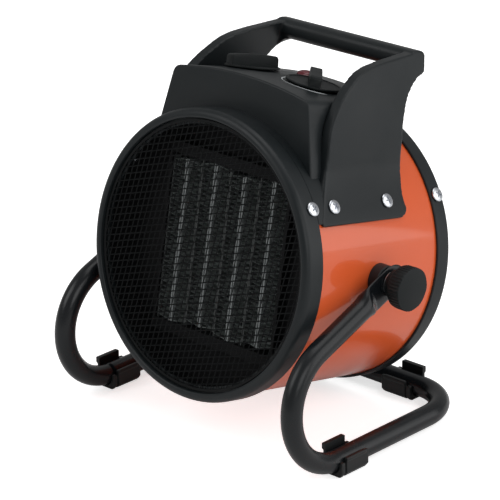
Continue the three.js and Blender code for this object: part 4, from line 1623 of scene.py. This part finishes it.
@dataclass
class Stand:
    """The bent tube stand with its flattened ends, and the four clip-on feet."""

    places: Places
    paint: Paintshop
    tube: float = 7.0
    side: float = 104.0
    lean: float = 0.022
    pad: float = 1.8
    bend: float = 40.6
    bend_back: float = 16.2
    rear_bar: float = 136.5
    corner: float = 33.0
    paddle: float = 10.0
    paddle_thick: float = 1.6
    flat_to: float = 16.0
    round_from: float = 30.0
    bore: float = 4.5
    pinch: float = 0.16
    tip: float = 1.4
    sides: int = 48

    def __post_init__(self) -> None:
        """Works out the places that the driving sizes give."""
        self.pivot = self.places.pivot()
        self.front = self.places.drum().translation.y * 1000
        self.height = self.tube + self.pad
        self.bend_y = self.front + self.bend_back
        self.bend_z = self.height + self.bend
        self.bar_y = self.front + self.rear_bar
        up, back = self.pivot.z - self.bend_z, self.pivot.y - self.bend_y
        self.slope = math.atan2(up, back) - math.asin(self.bend / math.hypot(up, back))

    def build(self) -> None:
        """Makes the tube and the feet."""
        half = self._half_path()
        mirrored = [Station(Vector((-s.at.x, s.at.y, s.at.z)), Vector((s.along.x, -s.along.y, -s.along.z)),
                            s.thick, s.wide, s.pinch) for s in reversed(half)]
        tube = self._swept("stand_tube_piece", half + mirrored)
        for side in Side:
            x, y, z = side.value * self.side, self.pivot.y, self.pivot.z
            combined(tube, bar("eye", (x - 14, y, z), (x + 10, y, z), self.bore, 32), Cut.SUBTRACT)
        finished(tube, MM, self.paint.get("black_powder_coat"), "stand", ["stand_tube"],
                 angle=30.0)
        Feet(self.paint, self).build()

    def _half_path(self) -> list[Station]:
        """Sections from the right-hand paddle round to the middle of the rear bar.

        Returns:
            The sections, in order.
        """
        down = Vector((0, -math.cos(self.slope), -math.sin(self.slope)))
        pivot = Vector((self.side, self.pivot.y, self.pivot.z))
        stations = []
        for i in range(10):
            a = math.radians(90 * (1 - i / 9))
            d = -self.paddle * self.tip * math.sin(a)
            wide = max(self.paddle * math.cos(a), 0.6)
            stations.append(Station(pivot + down * d, down, self.paddle_thick, wide))
        for d in (4.0, 9.0, 13.0):
            stations.append(Station(pivot + down * d, down, self.paddle_thick, self.paddle))
        for i in range(17):
            t = i / 16
            ease = t * t * (3 - 2 * t)
            step = min(1.7 * t, 1.0)
            swell = step * step * (3 - 2 * step)
            d = self.flat_to + (self.round_from - self.flat_to) * t
            thick = self.paddle_thick + (self.tube - self.paddle_thick) * swell
            wide = self.paddle + (self.tube - self.paddle) * ease
            pinch = self.pinch * math.sin(math.pi * min(1.25 * t, 1.0)) ** 2
            stations.append(Station(pivot + down * d, down, thick, wide, pinch))
        touch = math.pi / 2 + self.slope
        for i in range(33):
            a = touch + (1.5 * math.pi - touch) * i / 32
            y, z = self.bend_y + self.bend * math.cos(a), self.bend_z + self.bend * math.sin(a)
            at = Vector((self.side, y, z))
            stations.append(Station(at, Vector((0, -math.sin(a), math.cos(a))), self.tube, self.tube))
        for i in range(17):
            a = math.pi / 2 * i / 16
            at = Vector((self.side - self.corner + self.corner * math.cos(a),
                         self.bar_y - self.corner + self.corner * math.sin(a), self.height))
            stations.append(Station(at, Vector((-math.sin(a), math.cos(a), 0)), self.tube, self.tube))
        return stations

    def _swept(self, name: str, stations: Sequence[Station]) -> bpy.types.Object:
        """Skins a row of oval sections, whose broad way is square to the run's bending.

        Args:
            name: The piece's name.
            stations: The sections, in order.

        Returns:
            The tube.
        """
        points, faces = [], []
        for s in stations:
            flat = s.along.cross(Vector((1, 0, 0)))
            across = Vector((1, 0, 0)) if flat.length > 0.5 else Vector((0, 1, 0))
            across = (across - s.along * across.dot(s.along)).normalized()
            if abs(s.along.z) < 1e-6:
                across = Vector((0, 0, 1)).cross(s.along).normalized() * -1
            other = s.along.cross(across).normalized()
            for k in range(self.sides):
                a = 2 * math.pi * k / self.sides
                pressed = 1 - s.pinch * math.exp(-(math.sin(a) / 0.3) ** 2)
                p = s.at + across * (s.thick * math.cos(a) * pressed) + other * (s.wide * math.sin(a))
                p.x -= math.copysign(self.lean * (p.z - self.height), p.x)
                points.append(tuple(p))
        count = self.sides
        for i in range(len(stations) - 1):
            for k in range(count):
                j = (k + 1) % count
                faces.append((i * count + k, i * count + j, (i + 1) * count + j, (i + 1) * count + k))
        faces.append(tuple(range(count))[::-1])
        faces.append(tuple(range(len(points) - count, len(points))))
        return tidy(sketched(name, points, faces))


@dataclass
class Feet:
    """Clip-on feet: a channel under the tube, with a collar, a groove and a raised hooked tab."""

    paint: Paintshop
    stand: Stand
    front: float = 22.7
    rear: float = 56.0
    half: float = 12.6
    width: float = 9.4
    tab: float = 9.9
    tab_thick: float = 2.6
    tab_from: float = -9.8
    tab_to: float = 8.8
    clearance: float = 0.3
    voxel: float = 0.42
    softening: int = 4

    def build(self) -> None:
        """Models one foot and sets four copies of it on the tube."""
        pattern = self._foot()
        stand = self.stand
        side_y = stand.front + self.front
        flip = Matrix.Diagonal((-1, 1, 1, 1))
        rear = Matrix.Translation((self.rear, stand.bar_y, stand.height))
        rear = rear @ Matrix.Rotation(math.radians(90), 4, "Z") @ flip
        places = {
            "foot_front_right": Matrix.Translation((stand.side, side_y, stand.height)),
            "foot_front_left": Matrix.Translation((-stand.side, side_y, stand.height)),
            "foot_rear_right": rear,
            "foot_rear_left": flip @ rear,
        }
        for node, place in places.items():
            finished(copied(pattern, f"{node}_piece"), MM @ place, self.paint.get("foot_plastic"),
                     "stand", [node], angle=45.0)
        bpy.data.objects.remove(pattern)

    def _channel(self, name: str, width: float, top: float, start: float, end: float) -> bpy.types.Object:
        """A length of the channel's outer section, with sloping lower corners.

        Args:
            name: The piece's name.
            width: Half its width.
            top: Its upper edge.
            start: Where it begins along the tube.
            end: Where it ends.

        Returns:
            The length of channel.
        """
        bottom = -self.stand.tube - self.stand.pad
        section = [(-width, top), (-width, bottom + 3), (-width + 2.4, bottom), (width - 2.4, bottom),
                   (width, bottom + 3), (width, top)]
        return extruded(name, [(x, start, z) for x, z in section], (0, end - start, 0))

    def _foot(self) -> bpy.types.Object:
        """One foot, centred on the tube and running along Y.

        Returns:
            The foot.
        """
        half, width = self.half, self.width
        parts = [self._channel("collar", width, 2.0, -half, 3.0 - half),
                 self._channel("waist", width - 1.4, 0.8, 2.0 - half, 5.6 - half),
                 self._channel("sole", width, 4.0, 4.6 - half, half),
                 block("rib", (width - 2.0, 4.6 - half, 2.4), (width + 0.5, half - 2.5, 4.6)),
                 block("tab", (-width, self.tab_from, -3), (self.tab_thick - width, self.tab_to, self.tab)),
                 block("hook", (-width - 1.3, self.tab_from, self.tab - 4.4),
                       (self.tab_thick - width, self.tab_to, self.tab))]
        foot = fused("foot", parts, self.voxel, self.softening)
        channel = self.stand.tube + self.clearance
        bottom = -self.stand.tube - self.stand.pad
        combined(foot, bar("channel", (0, -30, 0), (0, 30, 0), channel, 48), Cut.SUBTRACT)
        combined(foot, block("mouth", (-channel, -30, 0), (channel, 30, 30)), Cut.SUBTRACT)
        heel = moved(block("heel", (-20, -4, -4), (20, 4, 4)), Matrix.Rotation(math.radians(45), 4, "X"))
        moved(heel, Matrix.Translation((0, half + 2.6, bottom - 1.4)))
        return combined(foot, heel, Cut.SUBTRACT)


# ---------------------------------------------------------------- carried-over solids


class InnerWorks:
    """Dresses the solids that are shown as they are."""

    def __init__(self, frame: dict, paint: Paintshop) -> None:
        """Args:
            paint: The finishes.
        """
        self.nodes = frame["nodes"]
        self.slots = {row["node"]: row["material_slot"] for row in frame["record"]["subparts"]}
        self.paint = paint
        # Duct walls that get the painted shade in place of their own finish.
        self.painted_shade_parts = ("element_frame", "air_baffle")

    def build(self) -> None:
        """Gives each solid that still shows its slot's finish, and the air duct's walls the near-black coat
        of painted shade instead.
        """
        for name, node in self.nodes.items():
            if node.hide_render:
                continue
            # The duct walls get the near-black painted shade instead of their slot's finish.
            finish = INSIDE_SHADE if name in self.painted_shade_parts else self.slots[name]
            node.data.materials.clear()
            node.data.materials.append(self.paint.get(finish))
            LOG.info("%s: solid, %s", name, self.slots[name])


# ---------------------------------------------------------------- studio


@dataclass
class Studio:
    """Pale floor, white surroundings, soft lamps and the camera."""

    places: Places
    centre: Point3 = (0.0, 0.0, 0.12)
    azimuth: float = 45.369
    elevation: float = 21.725
    roll: float = -1.8722
    distance: float = 1.8779
    focal_pixels: float = 2938.3
    optical_centre: Point2 = (197.44, 256.01)
    image_side: int = 500
    sensor: float = 36.0
    surround: float = 0.36
    floor_lift: float = 0.64
    lamps: dict[str, tuple[Point3, float, float]] = field(default_factory=lambda: {
        "key": ((-1.3, -2.1, 2.0), 1.8, 26.0),
        "side": ((2.4, 1.3, 1.2), 2.6, 40.0),
        "fill": ((2.6, -1.2, 1.6), 1.6, 20.0),
        "top": ((0.1, 0.5, 2.4), 1.8, 17.0)})

    def build(self) -> None:
        """Sets the stage."""
        self._floor()
        self._world()
        for name, (at, size, power) in self.lamps.items():
            self._lamp(name, at, size, power)
        self._camera()
        bpy.context.scene.view_settings.view_transform = "Standard"

    def _floor(self) -> None:
        """A wide pale floor that keeps the heater's shadow."""
        deselect()
        bpy.ops.mesh.primitive_plane_add(size=12, location=(0, 0, 0))
        floor = named("floor")
        material = bpy.data.materials.new("pale_floor")
        material.use_nodes = True
        shader = material.node_tree.nodes["Principled BSDF"]
        shader.inputs["Base Color"].default_value = (0.93, 0.93, 0.93, 1)
        shader.inputs["Roughness"].default_value = 0.7
        shader.inputs["Specular IOR Level"].default_value = 0.1
        sheet = NodeSheet(material.node_tree)
        seen = sheet.add("ShaderNodeLightPath").outputs["Is Camera Ray"]
        shader.inputs["Emission Color"].default_value = (1, 1, 1, 1)
        sheet.link(sheet.ranged(seen, 0.0, 1.0, 0.0, self.floor_lift), shader.inputs["Emission Strength"])
        floor.data.materials.append(material)

    def _world(self) -> None:
        """White to the camera and through glass, softer as light and in reflections."""
        world = bpy.data.worlds.new("surround")
        bpy.context.scene.world = world
        world.use_nodes = True
        sheet = NodeSheet(world.node_tree)
        background = world.node_tree.nodes["Background"]
        path = sheet.add("ShaderNodeLightPath")
        seen = sheet.add("ShaderNodeMath", operation="MAXIMUM")
        sheet.link(path.outputs["Is Camera Ray"], seen.inputs[0])
        sheet.link(path.outputs["Is Transmission Ray"], seen.inputs[1])
        strength = sheet.ranged(seen.outputs["Value"], 0.0, 1.0, self.surround, 1.0)
        sheet.link(strength, background.inputs["Strength"])
        background.inputs["Color"].default_value = (1, 1, 1, 1)

    def _lamp(self, name: str, at: Point3, size: float, power: float) -> None:
        """A square soft lamp that looks at the heater.

        Args:
            name: The lamp's name.
            at: Its place.
            size: Its side.
            power: Its power in watts.
        """
        light = bpy.data.lights.new(name, "AREA")
        light.size = size
        light.energy = power
        lamp = bpy.data.objects.new(name, light)
        bpy.context.scene.collection.objects.link(lamp)
        lamp.location = at
        lamp.rotation_euler = (Vector(self.centre) - Vector(at)).to_track_quat("-Z", "Y").to_euler()

    def _camera(self) -> None:
        """The camera at the photograph's place, turned so that no shift is needed."""
        az, el, roll = (math.radians(a) for a in (self.azimuth, self.elevation, self.roll))
        back = Vector((math.sin(az) * math.cos(el), -math.cos(az) * math.cos(el), math.sin(el)))
        level = Vector((math.cos(az), math.sin(az), 0))
        upright = back.cross(level)
        right = level * math.cos(roll) + upright * math.sin(roll)
        up = upright * math.cos(roll) - level * math.sin(roll)
        middle = self.image_side / 2
        aim = -back * self.focal_pixels + right * (middle - self.optical_centre[0])
        aim += up * (self.optical_centre[1] - middle)
        new_back = -aim.normalized()
        new_right = (right - new_back * right.dot(new_back)).normalized()
        new_up = new_back.cross(new_right)
        data = bpy.data.cameras.new("camera")
        data.sensor_width = self.sensor
        data.lens = self.sensor * aim.length / self.image_side
        data.clip_start, data.clip_end = 0.05, 50.0
        camera = bpy.data.objects.new("camera", data)
        bpy.context.scene.collection.objects.link(camera)
        turn = Matrix((new_right, new_up, new_back)).transposed().to_4x4()
        camera.matrix_world = Matrix.Translation(self.places.drum().translation + back * self.distance) @ turn
        bpy.context.scene.camera = camera


def corners(box: tuple[Vector, Vector]) -> list[list[float]]:
    """A box's two corners as plain lists."""
    return [list(corner) for corner in box]


def main() -> None:
    """Builds the heater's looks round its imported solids."""
    logging.basicConfig(level=logging.INFO, format="%(name)s: %(message)s")
    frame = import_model()
    places = Places({joint["name"]: joint for joint in frame["joints"]})
    paint = Paintshop()
    shape = HandleShape()
    for assembly in (Drum(places, paint), Screws(places, paint), Handle(places, paint, shape),
                     ControlHousing(places, paint, shape), Controls(places, paint), Element(places, paint),
                     Pivots(places, paint), Stand(places, paint), InnerWorks(frame, paint), Studio(places)):
        LOG.info("building %s", type(assembly).__name__)
        assembly.build()


if __name__ == "__main__":
    main()
